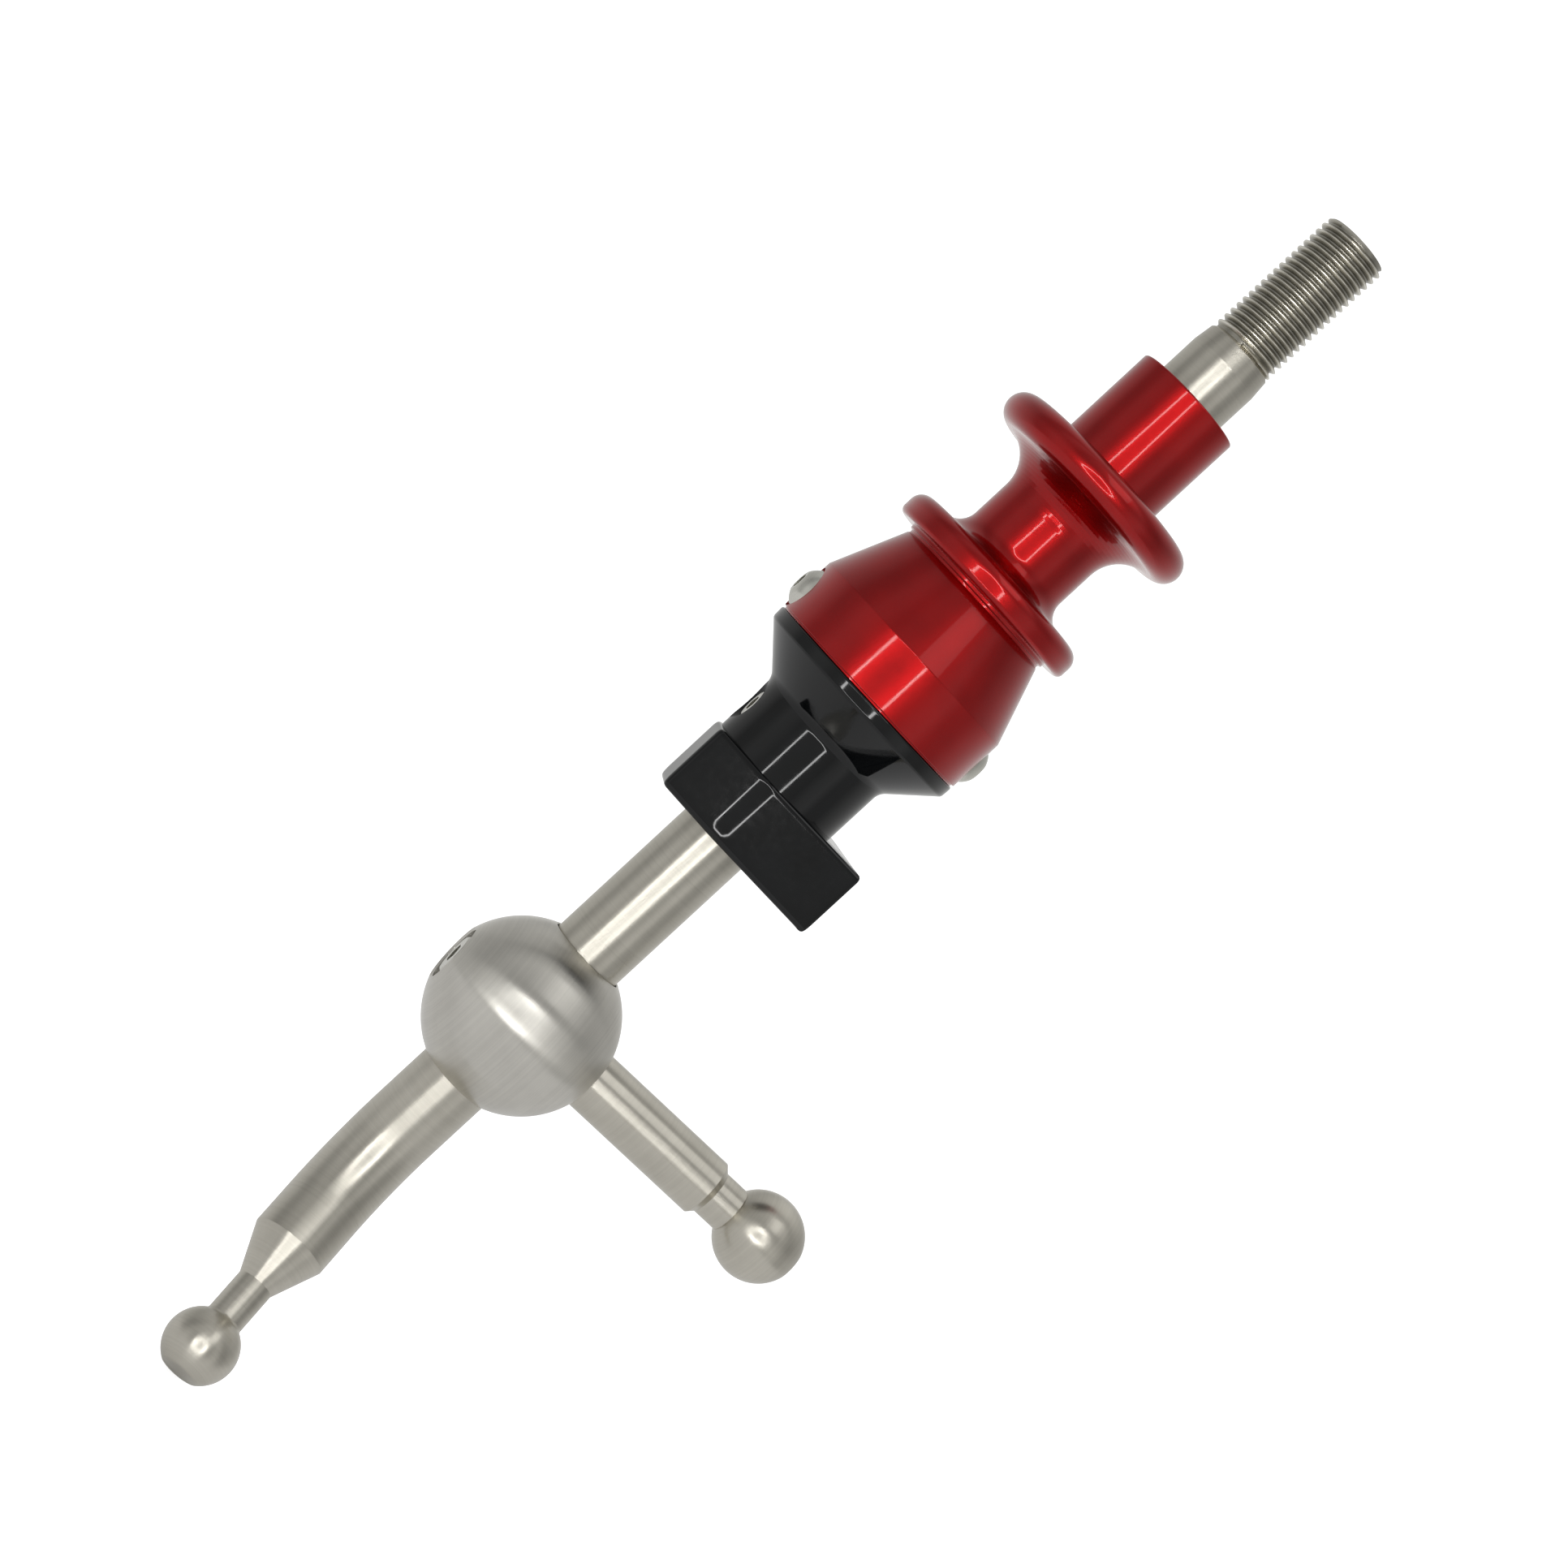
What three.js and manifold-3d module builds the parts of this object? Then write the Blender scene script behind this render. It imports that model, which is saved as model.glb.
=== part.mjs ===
// A car's short-throw gear shift lever with a spring-loaded lift collar for the reverse lockout.
// Millimetres. The origin is the centre of the pivot ball, +Z runs up the lever to the knob's
// thread, the selector arm points to +X, and the lower end of the rod is bent towards -Y.
import * as THREE from "three";
import { mergeVertices } from "three/addons/utils/BufferGeometryUtils.js";
import Module from "manifold-3d";

const wasm = await Module();
wasm.setup();

// Clearances between pieces that touch.
const FIT = 0.3; // sliding and seated faces
const SCREW_FIT = 0.2; // round a screw's shank

// The one-piece rod. Heights below the bend are measured along its centre line.
const ROD_R = 6.35;
const THREAD_CREST_R = 5.9; // M12 x 1.25
const THREAD_ROOT_R = 5.2;
const THREAD_PITCH = 1.25;
const THREAD_TURNS = 19;
const ROD_TOP_Z = 173.4;
const THREAD_BOTTOM_Z = ROD_TOP_Z - THREAD_TURNS * THREAD_PITCH;
const TAPER_BOTTOM_Z = 146;
const BEND_START_Z = -24.5;
const BEND_R = 35;
const BEND_ANGLE = THREE.MathUtils.degToRad(30.5);
const BEND_LENGTH = BEND_R * BEND_ANGLE;
const BEND_TURN = THREE.MathUtils.degToRad(2); // the bend leans this far from -Y towards +X
const LOWER_BALL_Z = -71;
const LOWER_BALL_R = 5.95;
const LOWER_FLAT_R = 3.2;
const LOWER_NECK_R = 3.05;
const CONE_BOTTOM_Z = -58.6;
const CONE_TOP_Z = -50.8;

// Pivot ball, selector arm and the screw that clamps them to the rod, on one tilted axis.
const PIVOT_R = 15.5;
const ARM_TILT = THREE.MathUtils.degToRad(2.8); // above +X
const ARM_R = 5;
const ARM_INNER_END = 9;
const ARM_STEP = 39.7; // 45 degree cone down to the neck
const ARM_NECK_R = 3.9;
const ARM_BALL_AT = 51.3;
const ARM_BALL_R = 7.35;
const ARM_FLAT_R = 2.9;
const CLAMP_HEAD_TOP = -14.4;
const CLAMP_HEAD_R = 3.55; // M4 socket head
const CLAMP_HEAD_H = 4;
const CLAMP_SCREW_END = 20;
const CLAMP_WASHER_R = 4.5;
const CLAMP_WASHER_H = 0.8;
const M4_R = 2;
const CLAMP_POCKET_R = 4.85;

// Lift collar.
const TUBE_R = 9.5;
const TUBE_TOP_Z = 138.9;
const UPPER_RIM_Z = 119.3;
const UPPER_RIM_R = 2.95;
const UPPER_RIM_CENTRE_R = 15.85;
const UPPER_FILLET = 6.3;
const LOWER_FLANGE_R = 17.75;
const LOWER_FLANGE_TOP_Z = 100.2;
const LOWER_FLANGE_BOTTOM_Z = 95.5;
const LOWER_FILLET = 3.5;
const BELL_R = 19;
const BELL_BOTTOM_Z = 72.8;
const BELL_CYLINDER_TOP_Z = 82.1;
const BELL_TOP_R = 14.4;
const BELL_TOP_Z = 94.1;
const BELL_INNER_R = 15.6;
const BELL_INNER_TOP_Z = 84.5;
const BELL_ROOF_R = 11;
const BELL_ROOF_Z = 92.5;
const COLLAR_BORE_R = 7.3;
const COLLAR_BORE_BOTTOM_Z = 94.5;
const UPPER_BUSH_BOTTOM_Z = 127.7;
const BUSH_R = 8;

// Lockout foot under the collar.
const NECK_R = 12.1;
const FLARE_BOTTOM_Z = 63.4;
const RIM_BOTTOM_Z = 70.4;
const BLOCK_BOTTOM_Z = 41.05;
const BLOCK_TOP_Z = 53.4;
const BLOCK_FRONT_Y = -12.55;
const SPIGOT_TOP_Z = 83.7;
const SPRING_POCKET_R = 9.8;
const SPRING_POCKET_Z = 62.5;
const LOWER_BUSH_TOP_Z = 54;

// Screws in the collar and foot.
const BUTTON_Z = 77;
const BUTTON_SEAT_X = 18.5;
const BUTTON_HEAD_R = 3.8; // M4 button head
const BUTTON_HEAD_H = 2.2;
const BUTTON_SCREW_LENGTH = 7;
const GUIDE_Z = 59;
const GUIDE_HEAD_TOP = 11.4;
const GUIDE_HEAD_R = 2.75; // M3 socket head
const GUIDE_HEAD_H = 3;
const GUIDE_TIP_R = 1.5;
const GUIDE_TIP_END = 4.8;
const GUIDE_POCKET_R = 3.15;
const GUIDE_MOUTH_R = 4.1;
const LIFT_TRAVEL = 10;

// Spring between the foot and a seat held on the rod.
const SPRING_WIRE_R = 0.8;
const SPRING_R = 8.1;
const SPRING_TURNS = 6;
const SPRING_BOTTOM_Z = 63.9;
const SPRING_TOP_Z = 87.8;
const SEAT_H = 0.8;
const UPPER_SEAT_Z = 88.1;
const UPPER_SEAT_R = 9.3;
const RING_Z = 89.3;
const RING_H = 1;
const RING_GROOVE_R = 5.6;

const SEGMENTS = 24;
const ROD_SEGMENTS = 20;
const SMALL_SEGMENTS = 16;
const SPIN_TO_Z = Math.PI / 2; // turns a lathe or cylinder made round Y to stand round Z

const { cos, sin, sqrt, PI } = Math;

const stainless = () => new THREE.MeshStandardMaterial({ color: 0xa5a296, metalness: 1, roughness: 0.35 });
const redAnodised = () => new THREE.MeshStandardMaterial({ color: 0xa01820, metalness: 0.9, roughness: 0.2 });
const glossBlack = () => new THREE.MeshStandardMaterial({ color: 0x1c1e1f, metalness: 0.1, roughness: 0.15 });
const screwSteel = () => new THREE.MeshStandardMaterial({ color: 0x9c9a90, metalness: 1, roughness: 0.4 });
const springSteel = () => new THREE.MeshStandardMaterial({ color: 0x77797a, metalness: 1, roughness: 0.3 });
const bushPlastic = () => new THREE.MeshStandardMaterial({ color: 0xd8d4c4, metalness: 0, roughness: 0.6 });

// ---- shape helpers

// Points [radius, height] on an arc, angles in degrees.
function arc(centreR, centreZ, radius, from, to, steps) {
  const points = [];
  for (let i = 0; i <= steps; i++) {
    const a = THREE.MathUtils.degToRad(from + ((to - from) * i) / steps);
    points.push([centreR + radius * cos(a), centreZ + radius * sin(a)]);
  }
  return points;
}

// A profile of [radius, height] points turned round Z. It starts and ends on the axis.
function turned(profile, segments = SEGMENTS) {
  const points = profile.map(([r, z]) => new THREE.Vector2(r, z));
  return new THREE.LatheGeometry(points, segments).rotateX(SPIN_TO_Z);
}

// A turned ring, whose profile closes on itself.
function turnedRing(profile, segments = SEGMENTS) {
  return turned([...profile, profile[0]], segments);
}

// A cylinder round Z between two heights, or a prism where there are few segments.
function cylinder(radius, bottom, top, segments = SMALL_SEGMENTS) {
  return new THREE.CylinderGeometry(radius, radius, top - bottom, segments)
    .rotateX(SPIN_TO_Z)
    .translate(0, 0, (bottom + top) / 2);
}

// A washer or bush round Z.
function sleeve(inner, outer, bottom, top, segments = SMALL_SEGMENTS) {
  return turnedRing([[inner, bottom], [outer, bottom], [outer, top], [inner, top]], segments);
}

function solid(geometry) {
  const bare = new THREE.BufferGeometry();
  bare.setAttribute("position", geometry.getAttribute("position"));
  bare.setIndex(geometry.index);
  const merged = mergeVertices(bare, 1e-3);
  return new wasm.Manifold(
    new wasm.Mesh({
      numProp: 3,
      vertProperties: new Float32Array(merged.attributes.position.array),
      triVerts: new Uint32Array(merged.index.array),
    }),
  );
}

function geometryOf(manifold) {
  const mesh = manifold.getMesh();
  const geometry = new THREE.BufferGeometry();
  geometry.setAttribute("position", new THREE.BufferAttribute(mesh.vertProperties, 3));
  geometry.setIndex(new THREE.BufferAttribute(mesh.triVerts, 1));
  geometry.computeVertexNormals();
  return geometry;
}

// The first geometry with all the cutters taken away.
function cut(geometry, ...cutters) {
  const left = cutters.reduce((body, cutter) => body.subtract(solid(cutter)), solid(geometry));
  return geometryOf(left);
}

function join(first, second) {
  return geometryOf(solid(first).add(solid(second)));
}

function piece(name, geometry, material) {
  const mesh = new THREE.Mesh(geometry, material);
  mesh.name = name;
  return mesh;
}

// Turns geometry that stands round Z to lie along the selector arm's axis.
function alongArm(geometry) {
  return geometry.rotateY(PI / 2 - ARM_TILT);
}

// ---- lever

// Moves the points below BEND_START_Z on to the bent centre line.
function bend(geometry) {
  const position = geometry.getAttribute("position");
  for (let i = 0; i < position.count; i++) {
    const below = BEND_START_Z - position.getZ(i);
    if (below <= 0) continue;
    const angle = Math.min(below, BEND_LENGTH) / BEND_R;
    const beyond = Math.max(below - BEND_LENGTH, 0);
    const swing = BEND_R + position.getY(i);
    position.setY(i, -BEND_R + swing * cos(angle) - beyond * sin(angle));
    position.setZ(i, BEND_START_Z - swing * sin(angle) - beyond * cos(angle));
  }
  return geometry;
}

function rodProfile() {
  const flatAngle = -THREE.MathUtils.radToDeg(Math.acos(LOWER_FLAT_R / LOWER_BALL_R));
  const neckAngle = THREE.MathUtils.radToDeg(Math.acos(LOWER_NECK_R / LOWER_BALL_R));
  const flatZ = LOWER_BALL_Z - sqrt(LOWER_BALL_R ** 2 - LOWER_FLAT_R ** 2);
  const points = [[0, flatZ], ...arc(0, LOWER_BALL_Z, LOWER_BALL_R, flatAngle, neckAngle, 9)];
  points.push([LOWER_NECK_R, CONE_BOTTOM_Z], [ROD_R, CONE_TOP_Z]);
  const bendRings = 8;
  for (let i = bendRings; i >= 0; i--) points.push([ROD_R, BEND_START_Z - (BEND_LENGTH * i) / bendRings]);
  points.push([ROD_R, RING_Z - FIT], [RING_GROOVE_R, RING_Z - FIT]);
  points.push([RING_GROOVE_R, RING_Z + RING_H + FIT], [ROD_R, RING_Z + RING_H + FIT]);
  points.push([ROD_R, TAPER_BOTTOM_Z], [THREAD_CREST_R, THREAD_BOTTOM_Z - THREAD_PITCH / 2]);
  // Rings of the thread's section stand in for its helix.
  for (let turn = 0; turn < THREAD_TURNS; turn++) {
    const root = THREAD_BOTTOM_Z + turn * THREAD_PITCH;
    points.push([THREAD_ROOT_R, root]);
    if (turn < THREAD_TURNS - 1) points.push([THREAD_CREST_R, root + THREAD_PITCH / 2]);
  }
  points.push([THREAD_CREST_R - 0.1, ROD_TOP_Z - 0.8], [THREAD_ROOT_R - 0.2, ROD_TOP_Z], [0, ROD_TOP_Z]);
  return points;
}

// The slot on the -X side that the guide screw's tip runs in.
function guideSlot() {
  const width = GUIDE_TIP_R + FIT;
  const depth = 3;
  const outline = new THREE.Shape();
  outline.absarc(GUIDE_Z, 0, width, PI / 2, (3 * PI) / 2);
  outline.absarc(GUIDE_Z + LIFT_TRAVEL, 0, width, -PI / 2, PI / 2);
  return new THREE.ExtrudeGeometry(outline, { depth, bevelEnabled: false, curveSegments: 6 })
    .rotateY(-PI / 2)
    .translate(-GUIDE_TIP_END + FIT, 0, 0);
}

function leverRod() {
  const bar = bend(turned(rodProfile(), ROD_SEGMENTS)).rotateZ(BEND_TURN);
  const screwHole = alongArm(cylinder(M4_R + SCREW_FIT, -PIVOT_R, PIVOT_R));
  return cut(bar, screwHole, guideSlot());
}

function pivotBall() {
  const boreR = ROD_R + FIT;
  const halfHeight = sqrt(PIVOT_R ** 2 - boreR ** 2);
  const edgeAngle = THREE.MathUtils.radToDeg(Math.acos(boreR / PIVOT_R));
  const ball = turnedRing([[boreR, -halfHeight], ...arc(0, 0, PIVOT_R, -edgeAngle, edgeAngle, 14).slice(1, -1),
    [boreR, halfHeight]]);
  const pocketFloor = CLAMP_HEAD_TOP + CLAMP_HEAD_H + CLAMP_WASHER_H + 2 * FIT;
  const headPocket = alongArm(cylinder(CLAMP_POCKET_R, -PIVOT_R - 1, pocketFloor));
  const armSocket = alongArm(cylinder(ARM_R + FIT, ARM_INNER_END - FIT, PIVOT_R + 1, ROD_SEGMENTS));
  const screwHole = alongArm(cylinder(M4_R + SCREW_FIT, -PIVOT_R, PIVOT_R));
  return cut(ball, headPocket, armSocket, screwHole);
}

// Built round Z, with its height measured from the pivot ball's centre.
function sideArm() {
  const neckAngle = -THREE.MathUtils.radToDeg(Math.acos(ARM_NECK_R / ARM_BALL_R));
  const flatAngle = THREE.MathUtils.radToDeg(Math.acos(ARM_FLAT_R / ARM_BALL_R));
  const flatZ = ARM_BALL_AT + sqrt(ARM_BALL_R ** 2 - ARM_FLAT_R ** 2);
  const arm = turned([
    [0, ARM_INNER_END],
    [ARM_R, ARM_INNER_END],
    [ARM_R, ARM_STEP],
    [ARM_NECK_R, ARM_STEP + ARM_R - ARM_NECK_R],
    ...arc(0, ARM_BALL_AT, ARM_BALL_R, neckAngle, flatAngle, 10),
    [0, flatZ],
  ], ROD_SEGMENTS);
  return cut(arm, cylinder(M4_R + SCREW_FIT, ARM_INNER_END - 1, CLAMP_SCREW_END + 1));
}

// A socket head cap screw round Z: the head's top is at the bottom end, and the shank runs up.
function capScrew(headR, headH, shankR, length, hexAcross) {
  const edge = 0.3;
  const screw = turned([
    [0, 0],
    [headR - edge, 0],
    [headR, edge],
    [headR, headH],
    [shankR, headH],
    [shankR, headH + length - edge],
    [shankR - edge, headH + length],
    [0, headH + length],
  ], SMALL_SEGMENTS);
  const hex = cylinder(hexAcross / sqrt(3), -1, headH * 0.5, 6);
  return cut(screw, hex);
}

function buttonScrew() {
  const domeR = (BUTTON_HEAD_R ** 2 + BUTTON_HEAD_H ** 2) / (2 * BUTTON_HEAD_H);
  const topFlatR = 1.9;
  const from = -THREE.MathUtils.radToDeg(Math.acos(topFlatR / domeR));
  const to = -THREE.MathUtils.radToDeg(Math.acos(BUTTON_HEAD_R / domeR));
  const dome = arc(0, domeR, domeR, from, to, 5);
  const crown = dome[0][1];
  const profile = [[0, crown], ...dome, [M4_R, BUTTON_HEAD_H], [M4_R, BUTTON_HEAD_H + BUTTON_SCREW_LENGTH]];
  profile.push([0, BUTTON_HEAD_H + BUTTON_SCREW_LENGTH]);
  const hexAcross = 2.5;
  return cut(turned(profile, SMALL_SEGMENTS), cylinder(hexAcross / sqrt(3), -1, 1.4, 6));
}

class SpringPath extends THREE.Curve {
  getPoint(t) {
    const low = SPRING_BOTTOM_Z + SPRING_WIRE_R;
    const high = SPRING_TOP_Z - SPRING_WIRE_R;
    // The first and last turns lie nearly flat.
    const flatTurn = 1 / SPRING_TURNS;
    const rise = THREE.MathUtils.clamp((t - flatTurn) / (1 - 2 * flatTurn), 0, 1);
    const closedPitch = 2 * SPRING_WIRE_R + 0.1;
    const closed = closedPitch * (Math.min(t, flatTurn) + Math.max(t - 1 + flatTurn, 0)) * SPRING_TURNS;
    const z = low + closed + (high - low - 2 * closedPitch) * rise;
    const angle = 2 * PI * SPRING_TURNS * t;
    return new THREE.Vector3(SPRING_R * cos(angle), SPRING_R * sin(angle), z);
  }
}

function liftSpring() {
  const section = new THREE.Shape();
  section.absarc(0, 0, SPRING_WIRE_R, 0, 2 * PI);
  const stepsPerTurn = 14;
  return new THREE.ExtrudeGeometry(section, {
    steps: stepsPerTurn * SPRING_TURNS,
    curveSegments: 3,
    bevelEnabled: false,
    extrudePath: new SpringPath(),
  });
}

// An open snap ring in the rod's groove.
function retainingRing() {
  const inner = RING_GROOVE_R + SCREW_FIT;
  const outer = 8.4;
  const halfGap = THREE.MathUtils.degToRad(22);
  const outline = new THREE.Shape();
  outline.absarc(0, 0, outer, halfGap, 2 * PI - halfGap);
  outline.absarc(0, 0, inner, 2 * PI - halfGap, halfGap, true);
  return new THREE.ExtrudeGeometry(outline, { depth: RING_H, bevelEnabled: false, curveSegments: 12 })
    .translate(0, 0, RING_Z);
}

// ---- collar

function collarProfile() {
  const edge = 0.3;
  const rimBottom = 1;
  const rimTop = 2.2;
  const bushR = BUSH_R + FIT;
  return [
    [BELL_INNER_R, BELL_BOTTOM_Z],
    [BELL_R - edge, BELL_BOTTOM_Z],
    [BELL_R, BELL_BOTTOM_Z + edge],
    [BELL_R, BELL_CYLINDER_TOP_Z],
    [BELL_TOP_R, BELL_TOP_Z],
    [BELL_TOP_R, LOWER_FLANGE_BOTTOM_Z],
    ...arc(LOWER_FLANGE_R - rimBottom, LOWER_FLANGE_BOTTOM_Z + rimBottom, rimBottom, -90, 0, 3),
    ...arc(LOWER_FLANGE_R - rimTop, LOWER_FLANGE_TOP_Z - rimTop, rimTop, 0, 90, 4),
    ...arc(TUBE_R + LOWER_FILLET, LOWER_FLANGE_TOP_Z + LOWER_FILLET, LOWER_FILLET, 270, 180, 4),
    ...arc(TUBE_R + UPPER_FILLET, UPPER_RIM_Z - UPPER_RIM_R - UPPER_FILLET, UPPER_FILLET, 180, 90, 5),
    ...arc(UPPER_RIM_CENTRE_R, UPPER_RIM_Z, UPPER_RIM_R, -90, 90, 8),
    [TUBE_R, UPPER_RIM_Z + UPPER_RIM_R],
    [TUBE_R, TUBE_TOP_Z - edge],
    [TUBE_R - edge, TUBE_TOP_Z],
    [bushR, TUBE_TOP_Z],
    [bushR, UPPER_BUSH_BOTTOM_Z],
    [COLLAR_BORE_R, UPPER_BUSH_BOTTOM_Z],
    [COLLAR_BORE_R, COLLAR_BORE_BOTTOM_Z],
    [BELL_ROOF_R, BELL_ROOF_Z],
    [BELL_INNER_R, BELL_INNER_TOP_Z],
  ];
}

// Turns geometry round Z to lie along X, pointing to +X (side 1) or -X (side -1).
function alongX(geometry, side, z) {
  return geometry.rotateY((side * PI) / 2).translate(0, 0, z);
}

function liftCollar() {
  const cutters = [];
  for (const side of [1, -1]) {
    cutters.push(alongX(cylinder(BUTTON_HEAD_R + FIT, BUTTON_SEAT_X - FIT, BELL_R + 1), side, BUTTON_Z));
    cutters.push(alongX(cylinder(M4_R + SCREW_FIT, BELL_INNER_R - 1, BELL_R), side, BUTTON_Z));
  }
  return cut(turnedRing(collarProfile()), ...cutters);
}

// ---- lockout foot

function footProfile() {
  const rimEdge = 0.45;
  const rimTopZ = BELL_BOTTOM_Z - FIT;
  return [
    [0, BLOCK_BOTTOM_Z],
    [NECK_R, BLOCK_BOTTOM_Z],
    [NECK_R, FLARE_BOTTOM_Z],
    [NECK_R + 0.2, FLARE_BOTTOM_Z + 0.6],
    [BELL_R - 0.3, RIM_BOTTOM_Z - 0.2],
    [BELL_R, RIM_BOTTOM_Z + rimEdge],
    [BELL_R, rimTopZ - rimEdge],
    [BELL_R - rimEdge, rimTopZ],
    [BELL_INNER_R - FIT, rimTopZ],
    [BELL_INNER_R - FIT, SPIGOT_TOP_Z],
    [0, SPIGOT_TOP_Z],
  ];
}

// The block's plan: a flat front to the right, a rounded ridge, a flat that falls back to the
// left, a rear arc, and a slanted fin to the front right corner.
function blockOutline() {
  const ridge = { x: -0.57, y: -3.25, r: 9.3 };
  const leftFlatTurn = THREE.MathUtils.degToRad(22);
  const rear = { x: 1.2, y: 0, r: 14.1 };
  const leftX = rear.x - rear.r;
  const finX = 17.85;
  const cornerCut = 0.9;
  const tangent = new THREE.Vector2(
    ridge.x - ridge.r * sin(leftFlatTurn),
    ridge.y - ridge.r * cos(leftFlatTurn),
  );
  const leftCornerY = tangent.y + (tangent.x - leftX) * Math.tan(leftFlatTurn);
  const cornerRound = 1.5;
  const finTangent = THREE.MathUtils.degToRad(6);
  const outline = new THREE.Shape();
  outline.moveTo(finX, BLOCK_FRONT_Y);
  outline.lineTo(finX, BLOCK_FRONT_Y + cornerCut);
  outline.absarc(rear.x, rear.y, rear.r, finTangent, PI);
  outline.lineTo(leftX, leftCornerY + cornerRound);
  outline.quadraticCurveTo(leftX, leftCornerY, leftX + cornerRound * cos(leftFlatTurn),
    leftCornerY - cornerRound * sin(leftFlatTurn));
  outline.absarc(ridge.x, ridge.y, ridge.r, (3 * PI) / 2 - leftFlatTurn, (3 * PI) / 2);
  return outline;
}

function footHollow() {
  const rodR = ROD_R + FIT;
  const bushR = BUSH_R + FIT;
  return turned([
    [0, BLOCK_BOTTOM_Z - 1],
    [bushR, BLOCK_BOTTOM_Z - 1],
    [bushR, LOWER_BUSH_TOP_Z + FIT],
    [rodR, LOWER_BUSH_TOP_Z + FIT],
    [rodR, SPRING_POCKET_Z],
    [SPRING_POCKET_R, SPRING_POCKET_Z],
    [SPRING_POCKET_R, SPIGOT_TOP_Z + 1],
    [0, SPIGOT_TOP_Z + 1],
  ]);
}

// The guide screw's counterbore, with its wide mouth, and its threaded hole.
function guideHole() {
  const floor = GUIDE_HEAD_TOP - GUIDE_HEAD_H - FIT;
  const mouthDepth = 0.9;
  return turned([
    [0, ROD_R - 1],
    [GUIDE_TIP_R + SCREW_FIT, ROD_R - 1],
    [GUIDE_TIP_R + SCREW_FIT, floor],
    [GUIDE_POCKET_R, floor],
    [GUIDE_POCKET_R, NECK_R - mouthDepth],
    [GUIDE_MOUTH_R, NECK_R],
    [GUIDE_MOUTH_R, NECK_R + 2],
    [0, NECK_R + 2],
  ], SMALL_SEGMENTS);
}

function lockoutFoot() {
  const depth = BLOCK_TOP_Z - BLOCK_BOTTOM_Z;
  const block = new THREE.ExtrudeGeometry(blockOutline(), { depth, bevelEnabled: false, curveSegments: 10 })
    .translate(0, 0, BLOCK_BOTTOM_Z);
  const cutters = [footHollow(), alongX(guideHole(), -1, GUIDE_Z)];
  for (const side of [1, -1]) {
    cutters.push(alongX(cylinder(M4_R + SCREW_FIT, SPRING_POCKET_R - 1, BELL_INNER_R), side, BUTTON_Z));
  }
  return cut(join(turned(footProfile()), block), ...cutters);
}

// ---- assembly

function lever() {
  const group = new THREE.Group();
  group.add(piece("lever_rod", leverRod(), stainless()));
  group.add(piece("pivot_ball", pivotBall(), stainless()));

  const armAxis = new THREE.Group();
  armAxis.rotation.y = PI / 2 - ARM_TILT;
  armAxis.add(piece("side_arm", sideArm(), stainless()));
  const shankLength = CLAMP_SCREW_END - CLAMP_HEAD_TOP - CLAMP_HEAD_H;
  const screw = piece("clamp_screw", capScrew(CLAMP_HEAD_R, CLAMP_HEAD_H, M4_R, shankLength, 3), screwSteel());
  screw.position.z = CLAMP_HEAD_TOP;
  const washerZ = CLAMP_HEAD_TOP + CLAMP_HEAD_H + FIT;
  const washer = sleeve(M4_R + SCREW_FIT, CLAMP_WASHER_R, washerZ, washerZ + CLAMP_WASHER_H);
  armAxis.add(screw, piece("clamp_washer", washer, screwSteel()));
  group.add(armAxis);

  const seat = sleeve(ROD_R + FIT, UPPER_SEAT_R, UPPER_SEAT_Z, UPPER_SEAT_Z + SEAT_H);
  group.add(piece("upper_spring_seat", seat, screwSteel()));
  group.add(piece("retaining_ring", retainingRing(), springSteel()));
  group.add(piece("lift_spring", liftSpring(), springSteel()));
  return group;
}

function collar() {
  const group = new THREE.Group();
  group.add(piece("lift_collar", liftCollar(), redAnodised()));
  group.add(piece("lockout_foot", lockoutFoot(), glossBlack()));

  for (const [name, side] of [["collar_screw_left", -1], ["collar_screw_right", 1]]) {
    const screw = piece(name, buttonScrew(), screwSteel());
    screw.rotation.y = (-side * PI) / 2;
    screw.position.set(side * (BUTTON_SEAT_X + BUTTON_HEAD_H), 0, BUTTON_Z);
    group.add(screw);
  }
  const tipLength = GUIDE_HEAD_TOP - GUIDE_HEAD_H - GUIDE_TIP_END;
  const guide = piece("guide_screw", capScrew(GUIDE_HEAD_R, GUIDE_HEAD_H, GUIDE_TIP_R, tipLength, 2.5),
    screwSteel());
  guide.rotation.y = PI / 2;
  guide.position.set(-GUIDE_HEAD_TOP, 0, GUIDE_Z);
  group.add(guide);

  const bushBore = ROD_R + 0.1;
  const upper = sleeve(bushBore, BUSH_R, UPPER_BUSH_BOTTOM_Z + FIT, TUBE_TOP_Z - FIT, ROD_SEGMENTS);
  const lower = sleeve(bushBore, BUSH_R, BLOCK_BOTTOM_Z + FIT, LOWER_BUSH_TOP_Z, ROD_SEGMENTS);
  group.add(piece("upper_bush", upper, bushPlastic()), piece("lower_bush", lower, bushPlastic()));
  const seatBottom = SPRING_POCKET_Z + FIT;
  const seat = sleeve(ROD_R + FIT, SPRING_POCKET_R - FIT, seatBottom, seatBottom + SEAT_H);
  group.add(piece("lower_spring_seat", seat, screwSteel()));
  return group;
}

const shifter = new THREE.Group();
shifter.add(lever(), collar());

export default shifter;
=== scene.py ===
import math

import bmesh
import bpy
from mathutils import Matrix, Vector


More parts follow.
